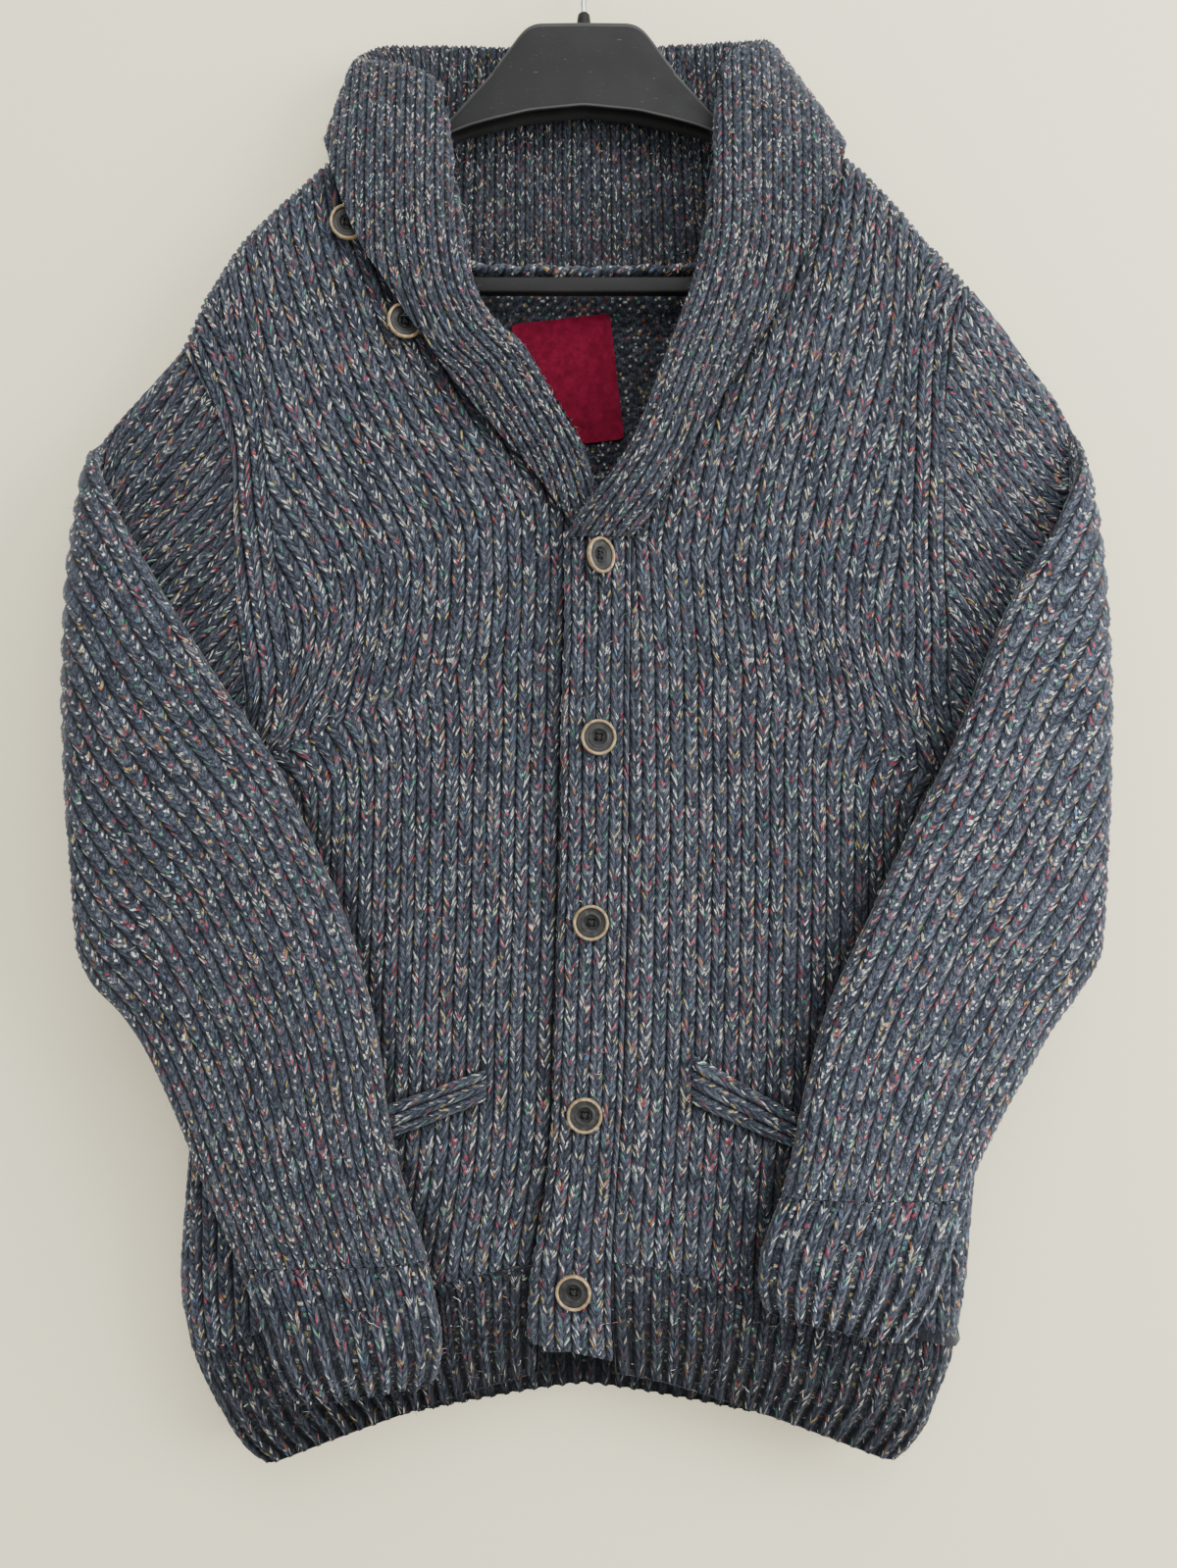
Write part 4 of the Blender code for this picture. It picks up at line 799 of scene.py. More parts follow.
class Net:
    """Short ways to add shader nodes to one material."""

    def __init__(self, name):
        self.material = bpy.data.materials.new(name)
        self.material.use_nodes = True
        self.tree = self.material.node_tree
        self.shader = self.tree.nodes["Principled BSDF"]

    def link(self, value, socket):
        if isinstance(value, Value):
            self.tree.links.new(value.socket, socket)
        else:
            socket.default_value = value

    def node(self, kind, inputs=(), **settings):
        """New node, with its inputs linked or set by number or name."""
        node = self.tree.nodes.new(f"ShaderNode{kind}")
        for key, value in settings.items():
            setattr(node, key, value)
        for key, value in (inputs.items() if isinstance(inputs, dict) else enumerate(inputs)):
            self.link(value, node.inputs[key])
        return node

    def value(self, kind, inputs=(), out=0, **settings):
        return Value(self, self.node(kind, inputs, **settings).outputs[out])

    def math(self, kind, *values):
        return self.value("Math", values, operation=kind)

    def combine(self, x, y, z=0.0):
        return self.value("CombineXYZ", (x, y, z))

    def split(self, vector):
        return [Value(self, socket) for socket in self.node("SeparateXYZ", [vector]).outputs]

    def place(self):
        return self.value("TexCoord", out="Object")

    def noise(self, vector, scale, detail=2.0, rough=0.5):
        inputs = {"Vector": vector, "Scale": scale, "Detail": detail, "Roughness": rough}
        return self.value("TexNoise", inputs, "Fac")

    def white(self, vector):
        return self.value("TexWhiteNoise", {"Vector": vector}, "Value", noise_dimensions="3D")

    def ramp(self, value, *stops, constant=False):
        node = self.node("ValToRGB", [value])
        ramp = node.color_ramp
        ramp.interpolation = "CONSTANT" if constant else "LINEAR"
        while len(ramp.elements) < len(stops):
            ramp.elements.new(0.5)
        for element, (at, colour) in zip(ramp.elements, stops):
            element.position = at
            element.color = (*colour, 1.0)
        return Value(self, node.outputs[0])

    def span(self, value, low, high, to_low=0.0, to_high=1.0):
        return self.value("MapRange", (value, low, high, to_low, to_high), interpolation_type="SMOOTHSTEP")

    def mix(self, share, a, b, kind="MIX"):
        return self.value("Mix", {0: share, 6: a, 7: b}, 2, data_type="RGBA", blend_type=kind)

    def bump(self, height, strength, distance=0.0002):
        inputs = {"Strength": strength, "Distance": distance, "Height": height}
        self.link(self.value("Bump", inputs), self.shader.inputs["Normal"])

    def finish(self, colour, roughness, sheen=0.0, specular=0.5, metallic=0.0):
        self.link(colour, self.shader.inputs["Base Color"])
        self.link(roughness, self.shader.inputs["Roughness"])
        self.shader.inputs["Metallic"].default_value = metallic
        self.shader.inputs["Specular IOR Level"].default_value = specular
        if sheen:
            self.shader.inputs["Sheen Weight"].default_value = sheen
            self.shader.inputs["Sheen Roughness"].default_value = 0.5
            self.shader.inputs["Sheen Tint"].default_value = (0.8, 0.82, 0.86, 1.0)
        return self.material


NAVY = (0.010, 0.011, 0.015)
SLATE = (0.028, 0.033, 0.047)
STEELY = (0.068, 0.078, 0.103)
PALE = (0.17, 0.18, 0.195)
WHITE = (0.85, 0.83, 0.73)
FLECKS = (
    (0.0, (0.62, 0.58, 0.46)), (0.22, (0.34, 0.045, 0.065)), (0.42, (0.08, 0.27, 0.17)),
    (0.56, (0.50, 0.38, 0.13)), (0.70, (0.45, 0.12, 0.14)), (0.82, (0.40, 0.15, 0.05)),
    (0.90, (0.12, 0.22, 0.34)),
)


def knit_material(name, tone=1.0, lines=True):
    """Marled tweed yarn: plies along each leg, with pale and coloured flecks, times the shade at each point,
    which also holds painted shade and painted light; and with lines, painted shade in the gaps between the
    wales, down the middle of each wale and between the legs."""
    net = Net(name)
    s, w, _ = net.split(net.value("UVMap", uv_map="knit"))
    s2, w1 = s * 2.0 + 2000.0, w + 2000.0
    each = net.white(net.combine(s2.of("FLOOR"), w1.of("FLOOR"), 1.0))
    shift = each * 37.0
    slant = w1 * 3.3 + s2 * 1.1
    plies = net.noise(net.combine(s2 * 3.2, slant, shift), 1.0, 2.0, 0.55)
    fibres = net.noise(net.combine(s2 * 7.5, w1 * 8.5, shift), 1.0, 2.0, 0.6)
    broad = net.noise(net.combine(s2 * 0.12, w1 * 0.17), 1.0, 2.0, 0.5)
    value = plies * 0.55 + fibres * 0.45 + (each - 0.5) * 0.10 + (broad - 0.5) * 0.04
    colour = net.ramp(value, (0.36, NAVY), (0.45, SLATE), (0.55, STEELY), (0.67, PALE), (0.76, WHITE))
    ragged = net.span(fibres, 0.40, 0.50)

    def cells(across, along, seed):
        return net.white(net.combine((s2 * across).of("FLOOR"), (w1 * along).of("FLOOR"), seed))

    def picked(across, along, seed, least):
        """Share of each picked cell: full in its middle, fading to its ends, and ragged."""
        share = (w1 * along).of("FRACT")
        ridge = net.span(share, 0.05, 0.3) * net.span(share, 0.7, 0.95, 1.0, 0.0)
        return cells(across, along, seed).of("GREATER_THAN", least) * ridge * ragged

    colour = net.mix(picked(3.5, 3.1, 3.0, 0.935), colour, (*WHITE, 1.0))
    fleck_colour = net.ramp(cells(2.7, 2.2, 9.0), *FLECKS, constant=True)
    colour = net.mix(picked(2.7, 2.2, 5.0, 0.895), colour, fleck_colour)
    # the shade attribute carries painted shade and painted light from the cloth pieces
    shade = net.value("Attribute", out="Fac", attribute_name="shade") * tone
    # painted shade: dark lines at the wale edges, down the middle of each wale and between the legs
    if lines:
        wide = (s.of("FRACT") * 2.0 - 1.0).of("ABSOLUTE")
        near = (w1.of("FRACT") * 2.0 - 1.0).of("ABSOLUTE")
        for at, power, depth in ((wide, 5.0, 0.93), (1.0 - wide, 7.0, 0.5), (near, 3.0, 0.62)):
            shade = shade * (1.0 - at.of("POWER", power) * depth)
    colour = net.mix(1.0, colour, net.combine(shade, shade, shade), "MULTIPLY")
    net.bump(plies * 0.6 + fibres * 0.4, 0.55, 0.0007)
    return net.finish(colour, 0.95, sheen=0.2, specular=0.12)


KNIT = knit_material("knit_marled", tone=1.08)
RIBBED = knit_material("knit_ribbed", tone=0.95, lines=False)
INNER = knit_material("knit_inner_side", tone=0.5, lines=False)


def grained(name, noise, stops, roughness, bump=0.0, **finish):
    """Material whose colour follows one fine noise."""
    net = Net(name)
    grain = net.noise(net.place(), *noise)
    colour = net.ramp(grain, *stops)
    if bump:
        net.bump(grain, bump)
    return net.finish(colour, roughness, **finish)


def horn_material(name, light):
    stops = [(at, (light * grey, light * grey, light * grey * blue))
             for at, grey, blue in ((0.3, 0.006, 1.0), (0.6, 0.020, 0.95), (0.8, 0.055, 0.9))]
    return grained(name, (260.0, 4.0, 0.6), stops, 0.5, bump=0.15, specular=0.3)


def label_material():
    """Woven satin label, bare."""
    net = Net("label_burgundy")
    at = net.place()
    x, _, z = net.split(at)
    warp = (x * (2 * math.pi / 0.0008)).of("SINE")
    weft = (z * (2 * math.pi / 0.0006)).of("SINE")
    value = warp * weft * 0.10 + net.noise(at, 220.0, 3.0, 0.6)
    colour = net.ramp(
        value, (0.3, (0.078, 0.0017, 0.0100)), (0.5, (0.109, 0.0025, 0.0155)), (0.75, (0.15, 0.0046, 0.0230)),
    )
    net.bump(value, 0.4, 0.0003)
    return net.finish(colour, 0.8, specular=0.08)


def plastic_material(name, low, high):
    """Moulded plastic with pale scuffs and sideways scratches."""
    net = Net(name)
    at = net.place()
    cloudy, scuffs = net.noise(at, 40.0, 4.0, 0.6), net.noise(at, 900.0, 5.0, 0.7)
    colour = net.ramp(cloudy, (0.3, (low, low, low * 0.98)), (0.7, (high, high, high * 0.98)))
    colour = net.mix(net.span(scuffs, 0.64, 0.72) * 0.3, colour, (0.16, 0.16, 0.155, 1.0))
    x, _, z = net.split(at)
    scratches = net.noise(net.combine(x, 0.0, z * 6.0), 160.0, 3.0, 0.7)
    colour = net.mix(net.span(scratches, 0.66, 0.70) * 0.35, colour, (0.2, 0.2, 0.19, 1.0))
    net.bump(scuffs, 0.12)
    return net.finish(colour, net.span(cloudy, 0.3, 0.7, 0.5, 0.62), specular=0.2)


HORN, HORN_RING = horn_material("button_horn_dark", 0.5), horn_material("button_horn_grey", 1.8)
RIM = grained("button_rim_tan", (420.0, 4.0, 0.6), [
    (0.3, (0.16, 0.11, 0.055)), (0.55, (0.36, 0.26, 0.14)), (0.75, (0.55, 0.44, 0.28))
], 0.38, metallic=0.25)
THREAD = grained("thread_dark", (2500.0, 2.0, 0.5), [
    (0.3, (0.006, 0.007, 0.008)), (0.7, (0.03, 0.03, 0.032))
], 0.8)
STEEL = grained("hook_bright_steel", (300.0, 3.0, 0.6), [
    (0.3, (0.42, 0.42, 0.42)), (0.7, (0.66, 0.66, 0.65))
], 0.28, metallic=1.0)
LABEL = label_material()
PLASTIC = plastic_material("hanger_plastic_grey", 0.008, 0.013)
# painted highlight: lighter plastic for the hanger's lit edges
PLASTIC_PAINTED_HIGHLIGHT = plastic_material("hanger_plastic_painted_highlight", 0.035, 0.055)


# Cloth pieces

FRONT_WAY, BACK_WAY = (0, -1, 0), (0, 1, 0)
EDGE_ZONE = 34.0
HEM_ROWS = 11
# Painted light: the left sleeve and cuff are made lighter than the right ones, as the light falls more on
# them.
SLEEVE_PAINTED_LIGHT = {RIGHT: 0.94, LEFT: 1.28}
FRONT_SLIDE = {RIGHT: 0.5, LEFT: 0.65}
LAPEL_TOP_Z = -180.0
LAPEL_STATIONS = 12
SEEN_INSIDE, SEEN_ACROSS = 0.72, 0.45
CREASES = {
    "front_right": (
        (-196, -452, -160, -418, 9, 2.2), (-150, -470, -120, -560, 22, 1.4), (-60, -420, -110, -360, 20, -1.2),
        (-172, -520, -158, -560, 10, 2.0), (-90, -590, -60, -690, 24, 1.2), (-30, -480, -40, -640, 15, -1.3),
        (-120, -740, -100, -660, 18, -1.2),
    ),
    "front_left": (
        (206, -440, 176, -405, 9, 2.2), (150, -520, 168, -570, 13, 1.8), (60, -430, 70, -610, 24, 1.3),
        (110, -380, 80, -330, 18, -1.2), (130, -600, 100, -700, 22, -1.3), (38, -540, 40, -720, 14, 1.0),
    ),
    "back": (
        (-180, -470, -120, -380, 26, 2.0), (185, -460, 130, -370, 24, 2.0), (-70, -300, -110, -560, 28, 1.6),
        (60, -330, 90, -620, 30, 1.7), (-150, -560, -170, -700, 22, 1.5), (10, -480, -10, -720, 26, -1.5),
        (140, -520, 160, -690, 20, -1.3),
    ),
    "sleeve_right": (
        (-250, -420, -200, -470, 13, 1.6), (-262, -500, -235, -560, 15, 1.4),
        (-175, -480, -215, -540, 12, -1.2), (-200, -620, -150, -650, 14, 1.5),
        (-160, -700, -120, -660, 13, 1.4), (-140, -720, -150, -740, 10, 1.2),
    ),
    "sleeve_left": (
        (262, -400, 220, -460, 15, 1.6), (250, -520, 205, -500, 12, 1.3), (236, -600, 190, -570, 13, 1.5),
        (180, -650, 215, -620, 12, -1.3), (150, -640, 180, -690, 13, 1.3), (280, -470, 262, -540, 13, 1.2),
    ),
}


def cloth(node, outer, inner, grids, material=KNIT, inside_material=INNER):
    """Knitted outer side and inner side of one node, in place of the node's own part."""
    piece = place(f"knit_{node}", outer, material)
    inside = place(f"knit_{node}_inside", inner, inside_material)
    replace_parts(piece, node)
    for grid in grids:
        a, b = grid[1:, 1:] - grid[:-1, :-1], grid[1:, :-1] - grid[:-1, 1:]
    return piece


def split_columns(grid, width_mm):
    """A base grid in two: up to width_mm short of its last column at the armhole, straight down below
    the underarm, and from there on."""
    cum = running(np.linalg.norm(np.diff(grid, axis=1), axis=-1), axis=1)
    u, rows = np.linspace(0, 1, grid.shape[1]), np.linspace(0, 1, len(grid))
    cut = np.array([np.interp(c[-1] - width_mm, c, u) for c in cum])
    under = int(UNDERARM_V * (len(grid) - 1)) + 1
    x = np.abs(grid[..., 0])
    line = np.interp(cut[under], u, x[under])
    for r in range(under):
        cut[r] = np.interp(line - 6.0 * (1 - r / under), x[r], u)
    cut = cut[:, None]
    places = (cut * u[None], cut + (1 - cut) * np.linspace(0, 1, 60)[None])
    return [read(grid, at, np.broadcast_to(rows[:, None], at.shape)) for at in places]


def contact_lines(side):
    """Edges that lie on the front: a line of XZ points, then the width and depth of its narrow painted shadow
    and of its wide one."""
    def points(rows, x, z, last=None):
        return np.stack([rows[x][:last] * side, rows[z][:last]], axis=1)

    arm = points({name: SLEEVE[side][name][7:-1] for name in ("ax", "az")}, "ax", "az")
    wrist, end = points(CUFF[side], "ax", "az"), points(CUFF[side], "bx", "bz")[-1:]
    z = np.linspace(-800.0, BAND_TOP, 30)
    band = (np.stack([band_x("free", z), z], axis=1), 3.5, 0.4, 12.0, 0.25)
    if side == LEFT:
        band = (np.stack([band_x("seam", z) + 1.0, z], axis=1), 1.8, 0.55, 6.0, 0.1)
    return [
        (np.vstack([arm, wrist, end]), 3.5, 0.45, 11.0, 0.25),
        (points(COLLAR[side], "ox", "oz", 12), 3.5, 0.45, 12.0, 0.15), band,
        (points(WELT[side], "x", "lower"), 3.0, 0.55, 6.0, 0.1),
        (points(WELT[side], "x", "upper"), 3.0, 0.35, 6.0, 0.1),
    ]


def shadowed(part, lines):
    """Paints shadow on a part's stitches beside the edges that lie on it."""
    points = part["base"][..., [0, 2]]
    for line, *shadows in lines:
        away = segment_distance(points, line)
        for width, depth in (shadows[:2], shadows[2:]):
            part["shade"] = part["shade"] * (1 - depth * np.exp(-((away / width) ** 2)))
    return part


def front(side):
    node = f"front_{SIDE_NAMES[side]}"
    grid = crease(front_base(side), FRONT_WAY, CREASES[node])
    main, edge = split_columns(grid, EDGE_ZONE)

    def slide(widths):
        return FRONT_SLIDE[side] * np.clip(widths[int(UNDERARM_V * len(widths))] - widths, 0, None)

    lines = contact_lines(side)
    parts = [knit_part(main, FRONT_WAY, slide=slide, per_wale=6),
             knit_part(edge, FRONT_WAY, wale=EDGE_ZONE / 4, height=STITCH_HEIGHT * 1.25, per_wale=6)]
    return cloth(node, [shadowed(part, lines) for part in parts], [lining_part(grid, FRONT_WAY, WALL)], [grid])


def back():
    outer, inner, grids = [], [], []
    for side in (RIGHT, LEFT):
        lines = [line for line in CREASES["back"] if line[0] * side > 0 or line[2] * side > 0]
        grid = crease(back_base(side), BACK_WAY, lines)
        outer.append(knit_part(grid, BACK_WAY, **COARSE))
        n = base_normals(grid, BACK_WAY)
        v, u = shares(60, 50)
        hidden = ((u, v * SEEN_INSIDE),
                  (SEEN_ACROSS + u * (1 - SEEN_ACROSS), SEEN_INSIDE + v * (1 - SEEN_INSIDE)))
        inner += [lining_dict(read(grid - n * WALL, *at), -read(n, *at)) for at in hidden]
        seen = read(grid - n * WALL, u * SEEN_ACROSS, SEEN_INSIDE + v * (1 - SEEN_INSIDE))
        inner.append(knit_part(seen, FRONT_WAY, inner=True, lean=0.0, per_wale=6, steps=(0.0, 0.33, 0.67),
                               height=1.1))
        grids.append(grid)
    return cloth("back", outer, inner, grids)


def hem_furrow(t):
    return np.clip(1.05 - t / HEM_ROWS, 0.10, 1.0)


# painted shade: the front hem is darker towards its lower edge
def hem_painted_shade(t):
    return 0.55 + 0.4 * np.clip(t / 10.0, 0.0, 1.0)


HEM = dict(courses=HEM_ROWS, rib=0.6, furrow=hem_furrow, round_end=8.0, lean=1.1)


def hem_front(side):
    node = f"hem_front_{SIDE_NAMES[side]}"
    grid = hem_front_base(side)
    width = np.linalg.norm(np.diff(grid[-1], axis=0), axis=-1).sum()
    outer = knit_part(grid, FRONT_WAY, wales=round(width / RIB_WALE), per_wale=10, tone=hem_painted_shade, height=1.4,
                      **HEM)
    inner = lining_part(grid, FRONT_WAY, RIB_WALL, rows=8)
    return cloth(node, [shadowed(outer, contact_lines(side))], [inner], [grid], RIBBED)


def hem_back():
    outer, inner, grids = [], [], []
    for side in (RIGHT, LEFT):
        grid = hem_back_base(side)
        under = grid - base_normals(grid, BACK_WAY) * RIB_WALL
        outer.append(knit_part(grid, BACK_WAY, wales=22, per_wale=6, height=1.4, **HEM))
        inner.append(knit_part(under, FRONT_WAY, wales=22, per_wale=6, height=1.2, tone=0.5, **HEM))
        grids.append(grid)
    return cloth("hem_back", outer, inner, grids, RIBBED, RIBBED)


def halves(count):
    """Angles over the front of a tube and over its back, both from its inner edge to its outer one."""
    return np.linspace(0, math.pi, count), np.linspace(2 * math.pi, math.pi, count)


def outward(grid):
    return grid - grid.mean(axis=1, keepdims=True)


def tube_inside(side, rows, places, inset):
    """Plain inner side of a tube, with its cut ends."""
    angles = np.linspace(0, 2 * math.pi, 61)
    inner = tube_base(side, rows, places, angles, inset)
    outer = tube_base(side, rows, places, angles, 1.0)
    points = np.concatenate([outer[:1], inner, outer[-1:]])
    return lining_dict(points, -outward(points))


def sleeve(side):
    node, rows = f"sleeve_{SIDE_NAMES[side]}", SLEEVE[side]
    last = len(rows["ax"]) - 1
    parts, grids = [], []
    for angles, fine in zip(halves(110), (dict(per_wale=6, height=1.15), dict(height=1.2, **COARSE))):
        upper = tube_base(side, rows, np.linspace(0, FOLD_ROW, 60), angles)
        # painted shade: the upper sleeve under the fold is 0.85 as light as the lower sleeve
        parts.append(knit_part(upper, outward(upper), from_end=True, shear=True,
                               tone=0.85 * SLEEVE_PAINTED_LIGHT[side], **fine))
        lower = tube_base(side, rows, np.linspace(FOLD_ROW, last, 240), angles)
        lower = crease(lower, outward(lower), CREASES[node])
        # painted light: each sleeve's own lightness
        parts.append(knit_part(lower, outward(lower), from_end=True, even=True,
                               tone=SLEEVE_PAINTED_LIGHT[side], **fine))
        grids.append(np.concatenate([upper, lower]))
    return cloth(node, parts, [tube_inside(side, rows, np.linspace(0, last, 60), WALL)], grids)


def cuff_furrow(t):
    return np.clip(1.1 - t / 10.0, 0.10, 1.0)


def cuff(side):
    rows, places = CUFF[side], np.linspace(0, 3, 24)
    grids = [tube_base(side, rows, places, angles) for angles in halves(90)]
    # painted light: each cuff takes its sleeve's lightness
    parts = [knit_part(grid, outward(grid), wales=CUFF_RIBS // 2, courses=12, from_end=True, rib=0.6,
                       height=1.5, lean=1.1, per_wale=10, furrow=cuff_furrow, round_end=9.0,
                       tone=1.34 * SLEEVE_PAINTED_LIGHT[side]) for grid in grids]
    inside = [tube_inside(side, rows, places, RIB_WALL)]
    return cloth(f"cuff_{SIDE_NAMES[side]}", parts, inside, grids, RIBBED)


# painted shade: the stand is dark, darkest at the neck seam and lighter towards the roll
def stand_painted_shade(t):
    return 0.5 + 0.22 * np.clip(t / 14.0, 0.0, 1.0)


COLLAR_CUTS = 91
CREST_CUT = 45
COLLAR_ROWS = 481


def lapel(side, grid, facing, tall):
    """Wales that follow the roll up to LAPEL_TOP_Z and stand upright from there on."""
    flat = np.stack([grid[..., 0] * side, grid[..., 2]], axis=-1)
    crest = flat[:, 0]
    share = np.maximum.accumulate(np.clip((crest[:, 1] - LAPEL_TOP_Z + 20) / 40, 0, 1)[:, None])
    way = unit(np.gradient(crest, axis=0)) * (1 - share) + np.array([0.0, 1.0]) * share
    way = unit(np.apply_along_axis(smoothed, 0, way, 14))
    move = np.vstack([[0.0, 0.0], np.diff(crest, axis=0)])

    def measured(line):
        return np.cumsum((move * line).sum(1))[:, None] + ((flat - crest[:, None]) * line[:, None]).sum(-1)

    across = measured(np.stack([way[:, 1], -way[:, 0]], axis=1))
    return knit_field(grid, facing, across, measured(way), (tall, 86), LAPEL_RIB, 4.9, lean=0.95, height=1.2,
                      rib=0.88, tone=0.84)


def collar():
    names, values = collar_stations()
    length = distances(values[:, :3])
    section = np.linspace(0, 6, COLLAR_CUTS)
    rows = smooth(length, values, np.linspace(0, length[-1], COLLAR_ROWS))
    middle = np.array([collar_section(dict(zip(names, row)), section) for row in rows])
    half = rows[:, names.index("wall")][:, None, None] / 2
    n = normals(middle)
    n = n * (-np.sign(n[COLLAR_ROWS // 2, 5, 1]))
    outer, inner = middle + n * half, middle - n * half

    def row_of(station):
        return int(round(length[station] / length[-1] * (COLLAR_ROWS - 1)))

    right_top, left_top = row_of(LAPEL_STATIONS), row_of(len(length) - 1 - LAPEL_STATIONS)
    parts, hidden = [], []
    for side, at in ((RIGHT, slice(0, right_top + 1)), (LEFT, slice(COLLAR_ROWS - 1, left_top - 1, -1))):
        grid, facing, under = (side_of[at, CREST_CUT:] for side_of in (outer, n, inner))
        parts.append(lapel(side, grid, facing, int(length[LAPEL_STATIONS])))
        hidden.append(lining_dict(under[::4, ::3], -facing[::4, ::3]))

    def upright(rows, cuts, wales, **options):
        grid, facing = (side_of[rows, cuts].transpose(1, 0, 2) for side_of in (outer, n))
        parts.append(knit(grid, facing, wales=wales, course=5.0, lean=0.85, rib=0.8, height=1.15,
                          by_index=True, **options))

    for first, last in ((0, right_top), (right_top, left_top), (left_top, COLLAR_ROWS - 1)):
        wales = round((last - first) / (COLLAR_ROWS - 1) * length[-1] / FINE_RIB)
        upright(slice(first, last + 1), slice(0, CREST_CUT + 1), wales, tone=stand_painted_shade,
                **(dict(per_wale=6) if first == right_top else COARSE))
    top = slice(right_top, left_top + 1)
    wide = np.linalg.norm(np.diff(outer[top, CREST_CUT], axis=0), axis=-1).sum()
    upright(top, slice(CREST_CUT, None), round(wide / FINE_RIB), per_wale=4)
    hidden.append(lining_dict(inner[::5, :CREST_CUT + 1:3], -n[::5, :CREST_CUT + 1:3]))
    hidden.append(lining_dict(inner[top][::4, CREST_CUT::3], -n[top][::4, CREST_CUT::3]))
    rim = np.stack([inner[:, -1] + n[:, -1] * 0.5, outer[:, -1] - n[:, -1] * 0.8], axis=1)
    hidden.append(lining_dict(rim, rim - middle[:, 80:81]))
    return cloth("collar", parts, hidden, [outer])


BAND_SECTION = table(
    "x y", (0.6, BAND_BACK), (-0.2, -18.2), (0.2, -20.0), (1.4, -21.0), (3.0, -21.4), (10.0, -21.6),
    (20.0, -21.6), (30.0, -21.5), (34.4, -21.3), (36.2, -19.9),
)


def bands():
    z = np.linspace(-799.0, BAND_TOP + 4.0, 180)
    free, seam = band_x("free", z), band_x("seam", z)
    slope = (np.linspace(1, 0, len(z)) ** 6) * 10.0
    knots = np.arange(len(BAND_SECTION["x"]))
    across = np.linspace(0, knots[-1], 60)
    offset, depth = (smooth(knots, BAND_SECTION[name], across) for name in ("x", "y"))
    share = offset / 35.5
    ragged = 0.5 * np.sin(z / 5.8 * 2 * math.pi / 2.3) + 0.4 * np.sin(z / 17.0)
    x = free[:, None] + (seam - free)[:, None] * share[None] + ragged[:, None] * (1 - share)[None] ** 4
    down = z[:, None] - slope[:, None] * share[None]
    grid = np.stack([x, np.broadcast_to(depth[None], x.shape), down], axis=-1)
    under = np.stack([x, np.full(x.shape, BAND_BACK), down], axis=-1)[::4, ::4]
    upper = cloth("band_buttonholes", [
        knit_part(grid, FRONT_WAY, wale=BAND_WALE, wales=5.5, round_end=5.0, height=1.25)
    ], [lining_dict(under, np.broadcast_to(np.array(BACK_WAY, float), under.shape))], [grid])

    z = np.linspace(-806.0, BAND_TOP - 6.0, 120)
    first, last = band_x("free", z) + BAND_LAP + BAND_GAP, band_x("seam", z) - 2.0
    x = first[:, None] + (last - first)[:, None] * np.linspace(0, 1, 20)[None]
    grid = np.stack([x, np.full(x.shape, -DEPTH), np.broadcast_to(z[:, None], x.shape)], axis=-1)
    lower = cloth("band_buttons", [
        knit_part(grid, FRONT_WAY, wales=4, per_wale=4, steps=(0.0, 0.5), height=0.5, sink=0.5)
    ], [lining_part(grid, FRONT_WAY, WALL)], [grid])
    return upper, lower


def welt(side):
    rows = WELT[side]
    at = np.linspace(rows["x"][0], rows["x"][-1], 60)
    upper, lower = (smooth(rows["x"], rows[name], at) for name in ("upper", "lower"))
    across = np.linspace(0, 1, 40)
    rise = 0.6 + 3.2 * np.sin(math.pi * across) ** 0.45
    ends = np.clip(np.minimum(at - at[0], at[-1] - at) / 4.0, 0.0, 1.0) ** 0.5
    z = lower[:, None] + (upper - lower)[:, None] * across[None]
    x = np.broadcast_to((at * side)[:, None], z.shape)
    grid = np.stack([x, -DEPTH - GAP - 0.4 - rise[None] * ends[:, None], z], axis=-1)
    flat = np.stack([x, np.full(z.shape, -DEPTH - GAP), z], axis=-1)[::6, ::4]
    return cloth(f"welt_{SIDE_NAMES[side]}", [knit_part(grid, FRONT_WAY, wales=3, height=1.3)],
                 [lining_dict(flat, np.broadcast_to(np.array(BACK_WAY, float), flat.shape))], [grid])


def tube_along(path, radius, sides):
    """Points round a smooth path; radius may change along it."""
    along = unit(np.gradient(path, axis=0))
    side_way = unit(np.cross(along, (0, 1, 0)))
    other = np.cross(along, side_way)
    angle = np.linspace(0, 2 * math.pi, sides)[None, :, None]
    radius = np.broadcast_to(radius, (len(path),))[:, None, None]
    return path[:, None] + radius * (np.cos(angle) * side_way[:, None] + np.sin(angle) * other[:, None])


def neck_seam():
    """Sewn ridge where the collar meets the back, and its yarn lying sideways."""
    at = np.arange(150)
    path = np.array([seam_point(place_at) for place_at in np.linspace(1.14, 2.86, len(at))])
    path[:, 1] -= 2.6
    path[:, 2] += -0.6 + 0.5 * np.sin(at * 0.55) + 0.4 * np.sin(at * 0.23)
    grid = tube_along(path, 3.3 + 0.35 * np.sin(at * 0.8), 26).transpose(1, 0, 2)
    around = np.linspace(0, 3, 26)[:, None] + np.zeros((1, len(at)))
    turns = np.linspace(0, distances(path)[-1] / 9.0, len(at))[None] + around * 0.35
    part = knit_field(grid, unit(grid - path[None]), turns * 9.0, around * 5.0, (22, 260), 9.0, 5.0, lean=0.5,
                      height=1.0)
    return place("knit_neck_seam", [part], KNIT)


# Buttons, label, hanger

def tube_faces(rows, sides, start=0):
    """Faces between rings of points, ring by ring."""
    return [(start + r * sides + c, start + r * sides + (c + 1) % sides,
             start + (r + 1) * sides + (c + 1) % sides, start + (r + 1) * sides + c)
            for r in range(rows - 1) for c in range(sides)]


def end_faces(rows, sides):
    return [tuple(range(sides)), tuple(range(rows * sides - 1, (rows - 1) * sides - 1, -1))]


